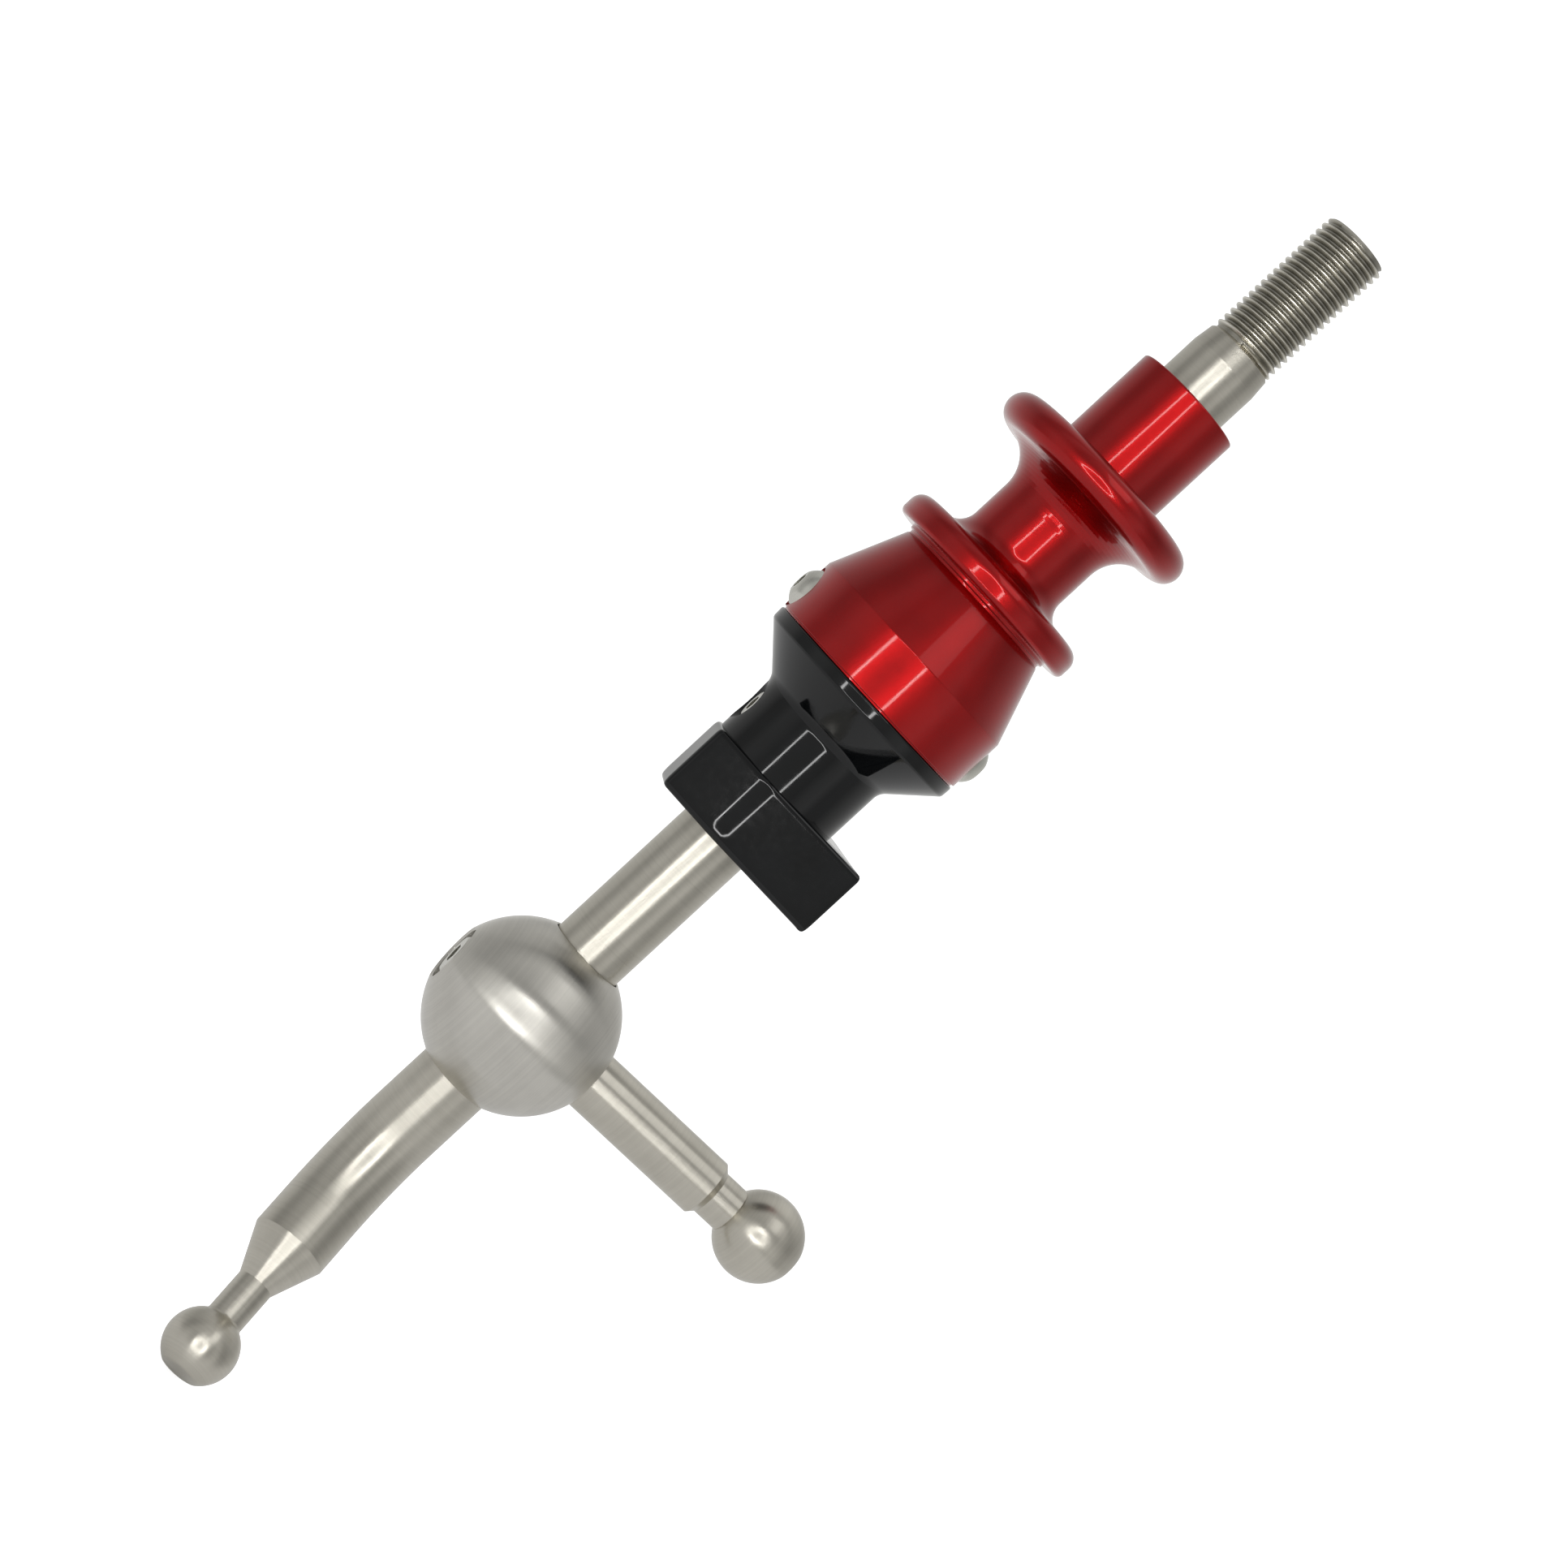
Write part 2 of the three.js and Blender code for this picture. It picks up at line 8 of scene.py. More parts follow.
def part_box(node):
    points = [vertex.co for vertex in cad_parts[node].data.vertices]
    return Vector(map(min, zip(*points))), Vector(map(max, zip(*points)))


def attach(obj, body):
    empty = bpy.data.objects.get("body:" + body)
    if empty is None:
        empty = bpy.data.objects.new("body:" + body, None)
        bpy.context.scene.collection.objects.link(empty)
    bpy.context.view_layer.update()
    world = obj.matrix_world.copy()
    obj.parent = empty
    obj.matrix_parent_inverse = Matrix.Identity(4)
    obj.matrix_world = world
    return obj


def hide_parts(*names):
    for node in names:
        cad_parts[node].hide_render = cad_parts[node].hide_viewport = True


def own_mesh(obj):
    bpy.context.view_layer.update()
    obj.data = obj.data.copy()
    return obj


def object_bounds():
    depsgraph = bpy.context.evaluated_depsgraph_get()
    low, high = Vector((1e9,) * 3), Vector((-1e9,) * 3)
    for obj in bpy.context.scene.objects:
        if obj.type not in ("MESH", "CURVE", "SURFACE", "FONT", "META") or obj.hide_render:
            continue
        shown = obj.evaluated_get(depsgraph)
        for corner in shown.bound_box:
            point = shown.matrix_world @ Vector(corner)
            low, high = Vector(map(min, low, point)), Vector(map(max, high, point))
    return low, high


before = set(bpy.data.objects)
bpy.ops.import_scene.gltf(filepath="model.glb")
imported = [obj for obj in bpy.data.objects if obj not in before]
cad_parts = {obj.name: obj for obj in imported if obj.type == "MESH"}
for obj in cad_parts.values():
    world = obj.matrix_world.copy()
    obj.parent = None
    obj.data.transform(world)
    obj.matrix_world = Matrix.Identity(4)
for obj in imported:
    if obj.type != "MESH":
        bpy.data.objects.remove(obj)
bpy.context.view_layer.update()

# A car's short-throw gear shift lever. Lengths below are millimetres; meshes are built in metres.
MM = 0.001
FIT = 0.3

ROD_R = 6.35
THREAD_CREST_R = 5.93
THREAD_ROOT_R = 5.18
THREAD_PITCH = 1.25
THREAD_TURNS = 19
THREAD_TIP_R = THREAD_ROOT_R + 0.2
THREAD_FOOT_R = THREAD_ROOT_R + 0.25
TAPER_BOTTOM_Z = 146
ROD_TOP_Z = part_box("lever_rod")[1][2] / MM
THREAD_BOTTOM_Z = ROD_TOP_Z - THREAD_TURNS * THREAD_PITCH
BEND_START_Z = -24.5
BEND_R = 35
BEND_ANGLE = math.radians(30.5)
BEND_TURN = math.radians(2)
LOWER_BALL_Z = -71
LOWER_BALL_R = 5.95
LOWER_FLAT_R = 3.2
LOWER_NECK_R = 3.05
CONE_BOTTOM_Z = -58.6
CONE_TOP_Z = -50.8

PIVOT_R = 15.5
ARM_TILT = math.radians(2.8)
ARM_R = 5
ARM_INNER_END = 9
ARM_SOCKET_END = 8.7
ARM_STEP = 39.7
ARM_NECK_R = 3.9
ARM_BALL_AT = 51.3
ARM_BALL_R = 7.35
ARM_FLAT_R = 2.9
CLAMP_HEAD_TOP = -14.4
CLAMP_HEAD_R = 3.55
CLAMP_HEAD_H = 4
CLAMP_SHANK_R = 2
CLAMP_END = 16
CLAMP_HEX = 3
CLAMP_WASHER_R = 4.5
CLAMP_POCKET_R = 4.85

TUBE_R = 9.5
TUBE_TOP_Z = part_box("lift_collar")[1][2] / MM
UPPER_RIM_Z = 119.3
UPPER_RIM_R = 2.95
UPPER_RIM_CENTRE_R = 15.85
UPPER_FILLET = 6.3
FLANGE_R = 17.75
FLANGE_TOP_Z = 100.2
FLANGE_BOTTOM_Z = 95.5
LOWER_FILLET = 3.5
BELL_R = 19
BELL_BOTTOM_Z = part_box("lift_collar")[0][2] / MM
BELL_CYLINDER_TOP_Z = 82.1
BELL_TOP_R = 14.4
BELL_TOP_Z = 94.1
BELL_INNER_R = 15.6
BELL_ROOF_R = 11
BELL_ROOF_Z = 92.5
BELL_ROOF_EDGE_Z = 84.5
COLLAR_BORE_R = 7.3
COLLAR_BORE_BOTTOM_Z = 94.5
UPPER_BUSH_SEAT_Z = 127.7

NECK_R = 12.1
FLARE_BOTTOM_Z = 63.4
RIM_BOTTOM_Z = 70.4
BLOCK_BOTTOM_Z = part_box("lockout_foot")[0][2] / MM
BLOCK_TOP_Z = 53.4
BLOCK_FRONT_Y = -12.55
SPIGOT_TOP_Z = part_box("lockout_foot")[1][2] / MM
SPRING_POCKET_R = 9.8
SPRING_POCKET_Z = 62.5
LOWER_BUSH_TOP_Z = 54
BUSH_R = 8

BUTTON_Z = 77
BUTTON_SEAT_X = 18.5
BUTTON_HEAD_R = 3.8
BUTTON_HEAD_H = 2.2
BUTTON_SHANK_R = 2
SCREW_HOLE_R = 2.2
GUIDE_Z = 59
GUIDE_HEAD_TOP = 11.4
GUIDE_HEAD_R = 2.75
GUIDE_HEAD_H = 3
GUIDE_HEX = 2.5
GUIDE_TIP_R = 1.5
GUIDE_TIP_END = 4.8
LIFT_TRAVEL = 10

UPPER_SEAT_R = 9.3
UPPER_SEAT_BOTTOM_Z = 88.1
UPPER_SEAT_TOP_Z = 88.9
PLATE_THICKNESS = 0.8
SPRING_WIRE_R = 0.8
SPRING_R = 8.1
SPRING_TURNS = 6
SPRING_BOTTOM_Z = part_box("lift_spring")[0][2] / MM
SPRING_TOP_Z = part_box("lift_spring")[1][2] / MM
RING_Z = 89.3
RING_H = 1
RING_GROOVE_R = 5.6
RING_INNER_R = 5.8
RING_OUTER_R = 8.4
RING_HALF_GAP = math.radians(22)

SEGMENTS = 160


# ---- mesh helpers

def arc(centre_r, centre_z, radius, start, end, steps):
    """Points (radius, height) on an arc, angles in degrees."""
    points = []
    for i in range(steps + 1):
        a = math.radians(start + (end - start) * i / steps)
        points.append((centre_r + radius * math.cos(a), centre_z + radius * math.sin(a)))
    return points


def rounded(corners, closed=False, steps=5):
    """A path through corners (x, y, fillet radius), each corner rounded by its radius."""
    points = []
    count = len(corners)
    for i, (x, y, radius) in enumerate(corners):
        here = Vector((x, y))
        if radius <= 0 or (not closed and i in (0, count - 1)):
            points.append((x, y))
            continue
        before = Vector(corners[i - 1][:2]) - here
        after = Vector(corners[(i + 1) % count][:2]) - here
        opening = before.angle(after)
        reach = radius / math.tan(opening / 2)
        a = here + before.normalized() * reach
        b = here + after.normalized() * reach
        bisector = (before.normalized() + after.normalized()).normalized()
        middle = here + bisector * radius / math.sin(opening / 2)
        spoke_a, spoke_b = a - middle, b - middle
        turn = spoke_a.angle_signed(spoke_b)
        for k in range(steps + 1):
            spoke = spoke_a.copy()
            spoke.rotate(Matrix.Rotation(-turn * k / steps, 2))
            points.append(tuple(middle + spoke))
    return points


def mesh_from_rings(name, rings, along, closed):
    """Quads between rings of equal point counts, with UVs: u round the ring, v the length along."""
    count = len(rings[0])
    mesh = bpy.data.meshes.new(name)
    verts = [(x * MM, y * MM, z * MM) for ring in rings for x, y, z in ring]
    faces, uvs = [], []
    last = len(rings) if closed else len(rings) - 1
    for i in range(last):
        low, high = i * count, ((i + 1) % len(rings)) * count
        for j in range(count):
            k = (j + 1) % count
            faces.append((low + j, low + k, high + k, high + j))
            u0, u1 = j / count, (j + 1) / count
            v0, v1 = along[i], along[i + 1] if i + 1 < len(along) else along[i] + 1
            uvs += [(u0, v0), (u1, v0), (u1, v1), (u0, v1)]
    mesh.from_pydata(verts, [], faces)
    layer = mesh.uv_layers.new(name="turning")
    layer.data.foreach_set("uv", [c for uv in uvs for c in uv])
    clean = bmesh.new()
    clean.from_mesh(mesh)
    bmesh.ops.remove_doubles(clean, verts=clean.verts, dist=2e-7)
    bmesh.ops.recalc_face_normals(clean, faces=clean.faces)
    clean.to_mesh(mesh)
    clean.free()
    obj = bpy.data.objects.new(name, mesh)
    bpy.context.scene.collection.objects.link(obj)
    return obj


def lengths(profile):
    total, out = 0.0, [0.0]
    for (r0, z0), (r1, z1) in zip(profile, profile[1:]):
        total += math.hypot(r1 - r0, z1 - z0)
        out.append(total)
    return out


def held(profile, closed=False):
    """The same profile with an extra point close to both ends of its long lines, so that they shade flat."""
    out = []
    following = profile[1:] + profile[:1] if closed else profile[1:] + [None]
    for here, after in zip(profile, following):
        out.append(here)
        if after is None:
            continue
        (r0, z0), (r1, z1) = here, after
        length = math.hypot(r1 - r0, z1 - z0)
        if length > 0.5:
            for share in (0.04 / length, 1 - 0.04 / length):
                out.append((r0 + (r1 - r0) * share, z0 + (z1 - z0) * share))
    return out


def turned(name, profile, closed=False, segments=SEGMENTS, shape=None):
    """A profile of (radius, height) turned round Z. shape(angle, radius, height) may change a radius."""
    profile = held(profile, closed)
    rings = []
    for r, z in profile:
        ring = []
        for j in range(segments):
            a = 2 * math.pi * j / segments + math.pi / 2
            rr = shape(a, r, z) if shape else r
            ring.append((rr * math.cos(a), rr * math.sin(a), z))
        rings.append(ring)
    return mesh_from_rings(name, rings, lengths(profile), closed)


def place(obj, matrix):
    obj.data.transform(matrix)
    return obj


def evaluated(obj):
    graph = bpy.context.evaluated_depsgraph_get()
    mesh = bpy.data.meshes.new_from_object(obj.evaluated_get(graph))
    obj.modifiers.clear()
    old = obj.data
    obj.data = mesh
    bpy.data.meshes.remove(old)
    return obj


def cut(obj, *cutters):
    for cutter in cutters:
        modifier = obj.modifiers.new("cut", "BOOLEAN")
        modifier.operation = "DIFFERENCE"
        modifier.solver = "EXACT"
        modifier.object = cutter
    evaluated(obj)
    for cutter in cutters:
        bpy.data.meshes.remove(cutter.data)
    return obj


def joined(obj, *others):
    """Adds the others' meshes to obj's."""
    together = bmesh.new()
    for part in (obj, *others):
        together.from_mesh(part.data)
    together.to_mesh(obj.data)
    together.free()
    for part in others:
        bpy.data.meshes.remove(part.data)
    return obj


def finished(obj, material, body, sharp=28):
    """Smooth shading with sharp edges, the material, and the body and node the piece stands for."""
    mesh = obj.data
    mesh.polygons.foreach_set("use_smooth", [True] * len(mesh.polygons))
    mesh.set_sharp_from_angle(angle=math.radians(sharp))
    mesh.materials.clear()
    mesh.materials.append(material)
    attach(obj, body)
    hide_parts(obj.name.removesuffix("_fine"))
    return obj


ALONG_ARM = Matrix.Rotation(math.pi / 2 - ARM_TILT, 4, "Y")


def along_x(side, z):
    """Turns a mesh round Z to lie along X, pointing to +X (side 1) or -X (side -1)."""
    return Matrix.Translation((0, 0, z * MM)) @ Matrix.Rotation(side * math.pi / 2, 4, "Y")


def bore(name, radius, bottom, top, segments=96, chamfer_bottom=0.0, chamfer_top=0.0):
    """A cutter round Z, with wider mouths where chamfers are given."""
    profile = [(0.0, bottom)]
    if chamfer_bottom:
        profile += [(radius + chamfer_bottom, bottom), (radius, bottom + chamfer_bottom)]
    else:
        profile += [(radius, bottom)]
    if chamfer_top:
        profile += [(radius, top - chamfer_top), (radius + chamfer_top, top)]
    else:
        profile += [(radius, top)]
    profile += [(0.0, top)]
    return turned(name, profile, segments=segments)


# ---- materials

def node(tree, kind, **values):
    made = tree.nodes.new(kind)
    for key, value in values.items():
        if key in made.inputs:
            made.inputs[key].default_value = value
        else:
            setattr(made, key, value)
    return made


def math_node(tree, operation, a, b):
    made = tree.nodes.new("ShaderNodeMath")
    made.operation = operation
    for i, value in enumerate((a, b)):
        if isinstance(value, (int, float)):
            made.inputs[i].default_value = value
        else:
            tree.links.new(value, made.inputs[i])
    return made.outputs[0]


def ramp(tree, value, stops):
    made = tree.nodes.new("ShaderNodeValToRGB")
    elements = made.color_ramp.elements
    while len(elements) < len(stops):
        elements.new(0.5)
    for element, (at, colour) in zip(elements, stops):
        element.position = at
        element.color = (*colour, 1)
    tree.links.new(value, made.inputs[0])
    return made.outputs[0]


def noise(tree, vector, scale, detail=3.0, roughness=0.5):
    made = tree.nodes.new("ShaderNodeTexNoise")
    made.inputs["Scale"].default_value = scale
    made.inputs["Detail"].default_value = detail
    made.inputs["Roughness"].default_value = roughness
    tree.links.new(vector, made.inputs["Vector"])
    return made.outputs["Fac"]


def scaled(tree, vector, scale):
    made = tree.nodes.new("ShaderNodeMapping")
    made.inputs["Scale"].default_value = scale
    tree.links.new(vector, made.inputs["Vector"])
    return made.outputs[0]


def weighted(tree, a, share_a, b, share_b):
    return math_node(tree, "ADD", math_node(tree, "MULTIPLY", a, share_a),
                     math_node(tree, "MULTIPLY", b, share_b))


def spread(tree, value, low, high):
    """Maps a value that runs about 0.3 to 0.7 on to low to high."""
    made = tree.nodes.new("ShaderNodeMapRange")
    made.inputs["From Min"].default_value = 0.3
    made.inputs["From Max"].default_value = 0.7
    made.inputs["To Min"].default_value = low
    made.inputs["To Max"].default_value = high
    tree.links.new(value, made.inputs["Value"])
    return made.outputs[0]


def bump(tree, height, strength, distance):
    made = tree.nodes.new("ShaderNodeBump")
    made.inputs["Strength"].default_value = strength
    made.inputs["Distance"].default_value = distance
    tree.links.new(height, made.inputs["Height"])
    return made.outputs[0]


def new_material(name):
    material = bpy.data.materials.new(name)
    material.use_nodes = True
    tree = material.node_tree
    shader = tree.nodes["Principled BSDF"]
    return material, tree, shader


def turned_steel(name, dark, light, rough=(0.27, 0.31), anisotropic=0.7, lines=0.06, grain=0.03):
    """Stainless steel with fine rings from turning, a light grain and uneven polish."""
    material, tree, shader = new_material(name)
    uv = node(tree, "ShaderNodeUVMap", uv_map="turning").outputs[0]
    place_at = tree.nodes.new("ShaderNodeTexCoord").outputs["Object"]
    rings = noise(tree, scaled(tree, uv, (0.8, 2.6, 1)), 1.0, 4, 0.6)
    broad = noise(tree, scaled(tree, uv, (2, 0.35, 1)), 1.0, 3)
    cloudy = noise(tree, place_at, 160, 4)
    speckle = noise(tree, place_at, 4200, 2)
    mixed = weighted(tree, rings, 0.5, cloudy, 0.5)
    colour = ramp(tree, mixed, [(0.36, dark), (0.64, light)])
    tree.links.new(colour, shader.inputs["Base Color"])
    wear = weighted(tree, broad, 0.5, rings, 0.5)
    tree.links.new(spread(tree, wear, *rough), shader.inputs["Roughness"])
    shader.inputs["Metallic"].default_value = 1.0
    shader.inputs["Anisotropic"].default_value = anisotropic
    shader.inputs["Anisotropic Rotation"].default_value = 0.25
    tangent = node(tree, "ShaderNodeTangent", direction_type="UV_MAP", uv_map="turning")
    tree.links.new(tangent.outputs[0], shader.inputs["Tangent"])
    height = weighted(tree, rings, lines, speckle, grain)
    tree.links.new(bump(tree, height, 0.4, 0.00002), shader.inputs["Normal"])
    return material


def thread_steel():
    """The cut thread: dull and dark in its roots from painted shade, bright on its crests from a painted
    highlight.
    """
    material, tree, shader = new_material("thread_steel")
    place_at = tree.nodes.new("ShaderNodeTexCoord").outputs["Object"]
    from_axis = tree.nodes.new("ShaderNodeVectorMath")
    from_axis.operation = "LENGTH"
    tree.links.new(scaled(tree, place_at, (1, 1, 0)), from_axis.inputs[0])
    height = tree.nodes.new("ShaderNodeMapRange")
    height.inputs["From Min"].default_value = THREAD_ROOT_R * MM
    height.inputs["From Max"].default_value = THREAD_CREST_R * MM
    tree.links.new(from_axis.outputs["Value"], height.inputs["Value"])
    cloudy = noise(tree, place_at, 500, 3)
    # painted light: the colour darkens towards the roots and brightens towards the crests by distance from
    # the axis, as painted shade in the roots and a painted highlight on the crests, with a little random
    # cloudiness
    painted_root_shade_and_crest_highlight = math_node(tree, "ADD", height.outputs[0],
                     math_node(tree, "MULTIPLY", math_node(tree, "SUBTRACT", cloudy, 0.5), 0.2))
    colour = ramp(tree, painted_root_shade_and_crest_highlight, [(0.1, (0.32, 0.307, 0.267)), (0.6, (0.52, 0.498, 0.436)),
                               (0.85, (0.84, 0.815, 0.74))])
    tree.links.new(colour, shader.inputs["Base Color"])
    tree.links.new(spread(tree, cloudy, 0.24, 0.32), shader.inputs["Roughness"])
    shader.inputs["Metallic"].default_value = 1.0
    tree.links.new(bump(tree, cloudy, 0.1, 0.00001), shader.inputs["Normal"])
    return material


def anodised_red():
    """Candy red: a dyed, slightly rough metal under a clear gloss."""
    material, tree, shader = new_material("anodised_red")
    place_at = tree.nodes.new("ShaderNodeTexCoord").outputs["Object"]
    cloudy = noise(tree, place_at, 90, 4)
    speckle = noise(tree, place_at, 5200, 1)
    mixed = weighted(tree, cloudy, 0.82, speckle, 0.18)
    colour = ramp(tree, mixed, [(0.35, (0.36, 0.0035, 0.0045)), (0.65, (0.46, 0.005, 0.006))])
    tree.links.new(colour, shader.inputs["Base Color"])
    tree.links.new(spread(tree, mixed, 0.28, 0.36), shader.inputs["Roughness"])
    shader.inputs["Metallic"].default_value = 1.0
    shader.inputs["Coat Weight"].default_value = 1.0
    shader.inputs["Coat Roughness"].default_value = 0.07
    shader.inputs["Coat IOR"].default_value = 1.35
    waves = noise(tree, place_at, 420, 2)
    tree.links.new(bump(tree, waves, 0.06, 0.00002), shader.inputs["Normal"])
    return material


def gloss_black():
    """Thick gloss black coating with a faint orange peel."""
    material, tree, shader = new_material("gloss_black")
    place_at = tree.nodes.new("ShaderNodeTexCoord").outputs["Object"]
    cloudy = noise(tree, place_at, 120, 4)
    colour = ramp(tree, cloudy, [(0.35, (0.0015, 0.0018, 0.002)), (0.65, (0.003, 0.0035, 0.004))])
    tree.links.new(colour, shader.inputs["Base Color"])
    fine = noise(tree, place_at, 900, 3)
    tree.links.new(spread(tree, fine, 0.05, 0.09), shader.inputs["Roughness"])
    shader.inputs["IOR"].default_value = 1.45
    peel = noise(tree, place_at, 700, 2)
    tree.links.new(bump(tree, peel, 0.03, 0.00002), shader.inputs["Normal"])
    return material


def bush_plastic():
    """Plain acetal with turning lines."""
    material, tree, shader = new_material("bush_plastic")
    place_at = tree.nodes.new("ShaderNodeTexCoord").outputs["Object"]
    cloudy = noise(tree, place_at, 300, 4)
    colour = ramp(tree, cloudy, [(0.35, (0.5, 0.47, 0.38)), (0.65, (0.62, 0.59, 0.5))])
    tree.links.new(colour, shader.inputs["Base Color"])
    tree.links.new(spread(tree, cloudy, 0.45, 0.6), shader.inputs["Roughness"])
    lines = noise(tree, scaled(tree, place_at, (20, 20, 4000)), 1.0, 2)
    tree.links.new(bump(tree, lines, 0.2, 0.00003), shader.inputs["Normal"])
    return material


STEEL = turned_steel("stainless", (0.555, 0.53, 0.465), (0.645, 0.617, 0.545))
BALL_STEEL = turned_steel("stainless_ball", (0.62, 0.602, 0.555), (0.73, 0.71, 0.655),
                          rough=(0.27, 0.34), anisotropic=0.95, lines=0.12, grain=0.25)
THREAD_STEEL = thread_steel()
SCREW_STEEL = turned_steel("screw_steel", (0.66, 0.65, 0.59), (0.76, 0.75, 0.69),
                           rough=(0.2, 0.28), anisotropic=0.2, lines=0.05, grain=0.05)
SPRING_STEEL = turned_steel("spring_steel", (0.2, 0.21, 0.22), (0.34, 0.35, 0.36),
                            rough=(0.2, 0.32), anisotropic=0.4)
RED = anodised_red()
BLACK = gloss_black()
PLASTIC = bush_plastic()


# ---- lever

def bend(obj):
    """Moves the points below BEND_START_Z on to the bent centre line, and turns the bend's plane."""
    for vert in obj.data.vertices:
        below = BEND_START_Z - vert.co.z / MM
        if below > 0:
            angle = min(below, BEND_R * BEND_ANGLE) / BEND_R
            beyond = max(below - BEND_R * BEND_ANGLE, 0)
            swing = BEND_R + vert.co.y / MM
            vert.co.y = (-BEND_R + swing * math.cos(angle) - beyond * math.sin(angle)) * MM
            vert.co.z = (BEND_START_Z - swing * math.sin(angle) - beyond * math.cos(angle)) * MM
    return place(obj, Matrix.Rotation(BEND_TURN, 4, "Z"))


def rod_profile():
    flat_angle = -math.degrees(math.acos(LOWER_FLAT_R / LOWER_BALL_R))
    neck_angle = math.degrees(math.acos(LOWER_NECK_R / LOWER_BALL_R))
    flat_z = LOWER_BALL_Z - math.sqrt(LOWER_BALL_R ** 2 - LOWER_FLAT_R ** 2)
    points = [(0.0, flat_z), (LOWER_FLAT_R - 0.15, flat_z)]
    points += arc(0, LOWER_BALL_Z, LOWER_BALL_R, flat_angle + 1.5, neck_angle - 2, 40)
    neck_start = points[-1][1]
    points += rounded([(points[-1][0], neck_start, 0), (LOWER_NECK_R, neck_start + 0.35, 0.3),
                       (LOWER_NECK_R, CONE_BOTTOM_Z, 0.25), (ROD_R, CONE_TOP_Z, 0.25),
                       (ROD_R, BEND_START_Z - BEND_R * BEND_ANGLE, 0)], steps=4)[1:]
    steps = 48
    start = BEND_START_Z - BEND_R * BEND_ANGLE
    points += [(ROD_R, start + (BEND_START_Z - start) * i / steps) for i in range(1, steps + 1)]
    groove_low, groove_high = RING_Z - FIT, RING_Z + RING_H + FIT
    points += [(ROD_R, -10), (ROD_R, 10), (ROD_R, 30), (ROD_R, groove_low)]
    points += [(RING_GROOVE_R, groove_low), (RING_GROOVE_R, groove_high)]
    points += rounded([(ROD_R, groove_high, 0), (ROD_R, TAPER_BOTTOM_Z, 0.12),
                       (THREAD_CREST_R + 0.05, THREAD_BOTTOM_Z - 0.5, 0.2),
                       (THREAD_FOOT_R, THREAD_BOTTOM_Z, 0)], steps=4)
    return points


def helix_thread():
    """A real single-start helix: rows of points follow the thread, and both ends are chamfered."""
    columns = 120
    section = [(0.0, THREAD_ROOT_R), (0.1, THREAD_ROOT_R + 0.03), (0.45, THREAD_CREST_R),
               (0.55, THREAD_CREST_R), (0.9, THREAD_ROOT_R + 0.03)]
    turns = int((ROD_TOP_Z - THREAD_BOTTOM_Z) / THREAD_PITCH) + 2
    rows = [(turn + at - 1, r) for turn in range(turns + 1) for at, r in section]
    rings = []
    for row, radius in rows:
        ring = []
        for j in range(columns + 1):
            share = j / columns
            a = 2 * math.pi * share + math.pi / 2
            z = THREAD_BOTTOM_Z + (row + share) * THREAD_PITCH
            r = min(radius, THREAD_TIP_R + max(ROD_TOP_Z - z, 0))
            r = max(r, min(THREAD_FOOT_R, radius + 0.6 - 0.6 * max(z - THREAD_BOTTOM_Z, 0)))
            if z >= ROD_TOP_Z:
                r = THREAD_TIP_R
            if z <= THREAD_BOTTOM_Z:
                r = THREAD_FOOT_R
            z = min(max(z, THREAD_BOTTOM_Z), ROD_TOP_Z)
            ring.append((r * math.cos(a), r * math.sin(a), z))
        rings.append(ring)
    mesh = bpy.data.meshes.new("thread")
    count = columns + 1
    verts = [(x * MM, y * MM, z * MM) for ring in rings for x, y, z in ring]
    faces, uvs = [], []
    for i in range(len(rings) - 1):
        for j in range(columns):
            a, b = i * count + j, (i + 1) * count + j
            faces.append((a, a + 1, b + 1, b))
            u0, u1, v0, v1 = j / columns, (j + 1) / columns, i * 0.3, (i + 1) * 0.3
            uvs += [(u0, v0), (u1, v0), (u1, v1), (u0, v1)]
    mesh.from_pydata(verts, [], faces)
    mesh.uv_layers.new(name="turning").data.foreach_set("uv", [c for uv in uvs for c in uv])
    clean = bmesh.new()
    clean.from_mesh(mesh)
    bmesh.ops.remove_doubles(clean, verts=clean.verts, dist=1e-6)
    bmesh.ops.dissolve_degenerate(clean, edges=clean.edges, dist=1e-6)
    bmesh.ops.recalc_face_normals(clean, faces=clean.faces)
    clean.to_mesh(mesh)
    clean.free()
    obj = bpy.data.objects.new("thread", mesh)
    bpy.context.scene.collection.objects.link(obj)
    return obj


def guide_slot():
    """The cutter for the slot on the rod's -X side that the guide screw's tip runs in."""
    width = GUIDE_TIP_R + FIT
    outline = []
    for centre, start in ((GUIDE_Z + LIFT_TRAVEL, 0), (GUIDE_Z, 180)):
        for k in range(17):
            a = math.radians(start + k * 180 / 16)
            outline.append((width * math.cos(a), centre + width * math.sin(a)))
    rings = [[(x, y, z) for y, z in outline] for x in (-10, -GUIDE_TIP_END + FIT)]
    slot = mesh_from_rings("slot", rings, [0, 1], False)
    filled = bmesh.new()
    filled.from_mesh(slot.data)
    bmesh.ops.holes_fill(filled, edges=filled.edges)
    bmesh.ops.recalc_face_normals(filled, faces=filled.faces)
    filled.to_mesh(slot.data)
    filled.free()
    return slot


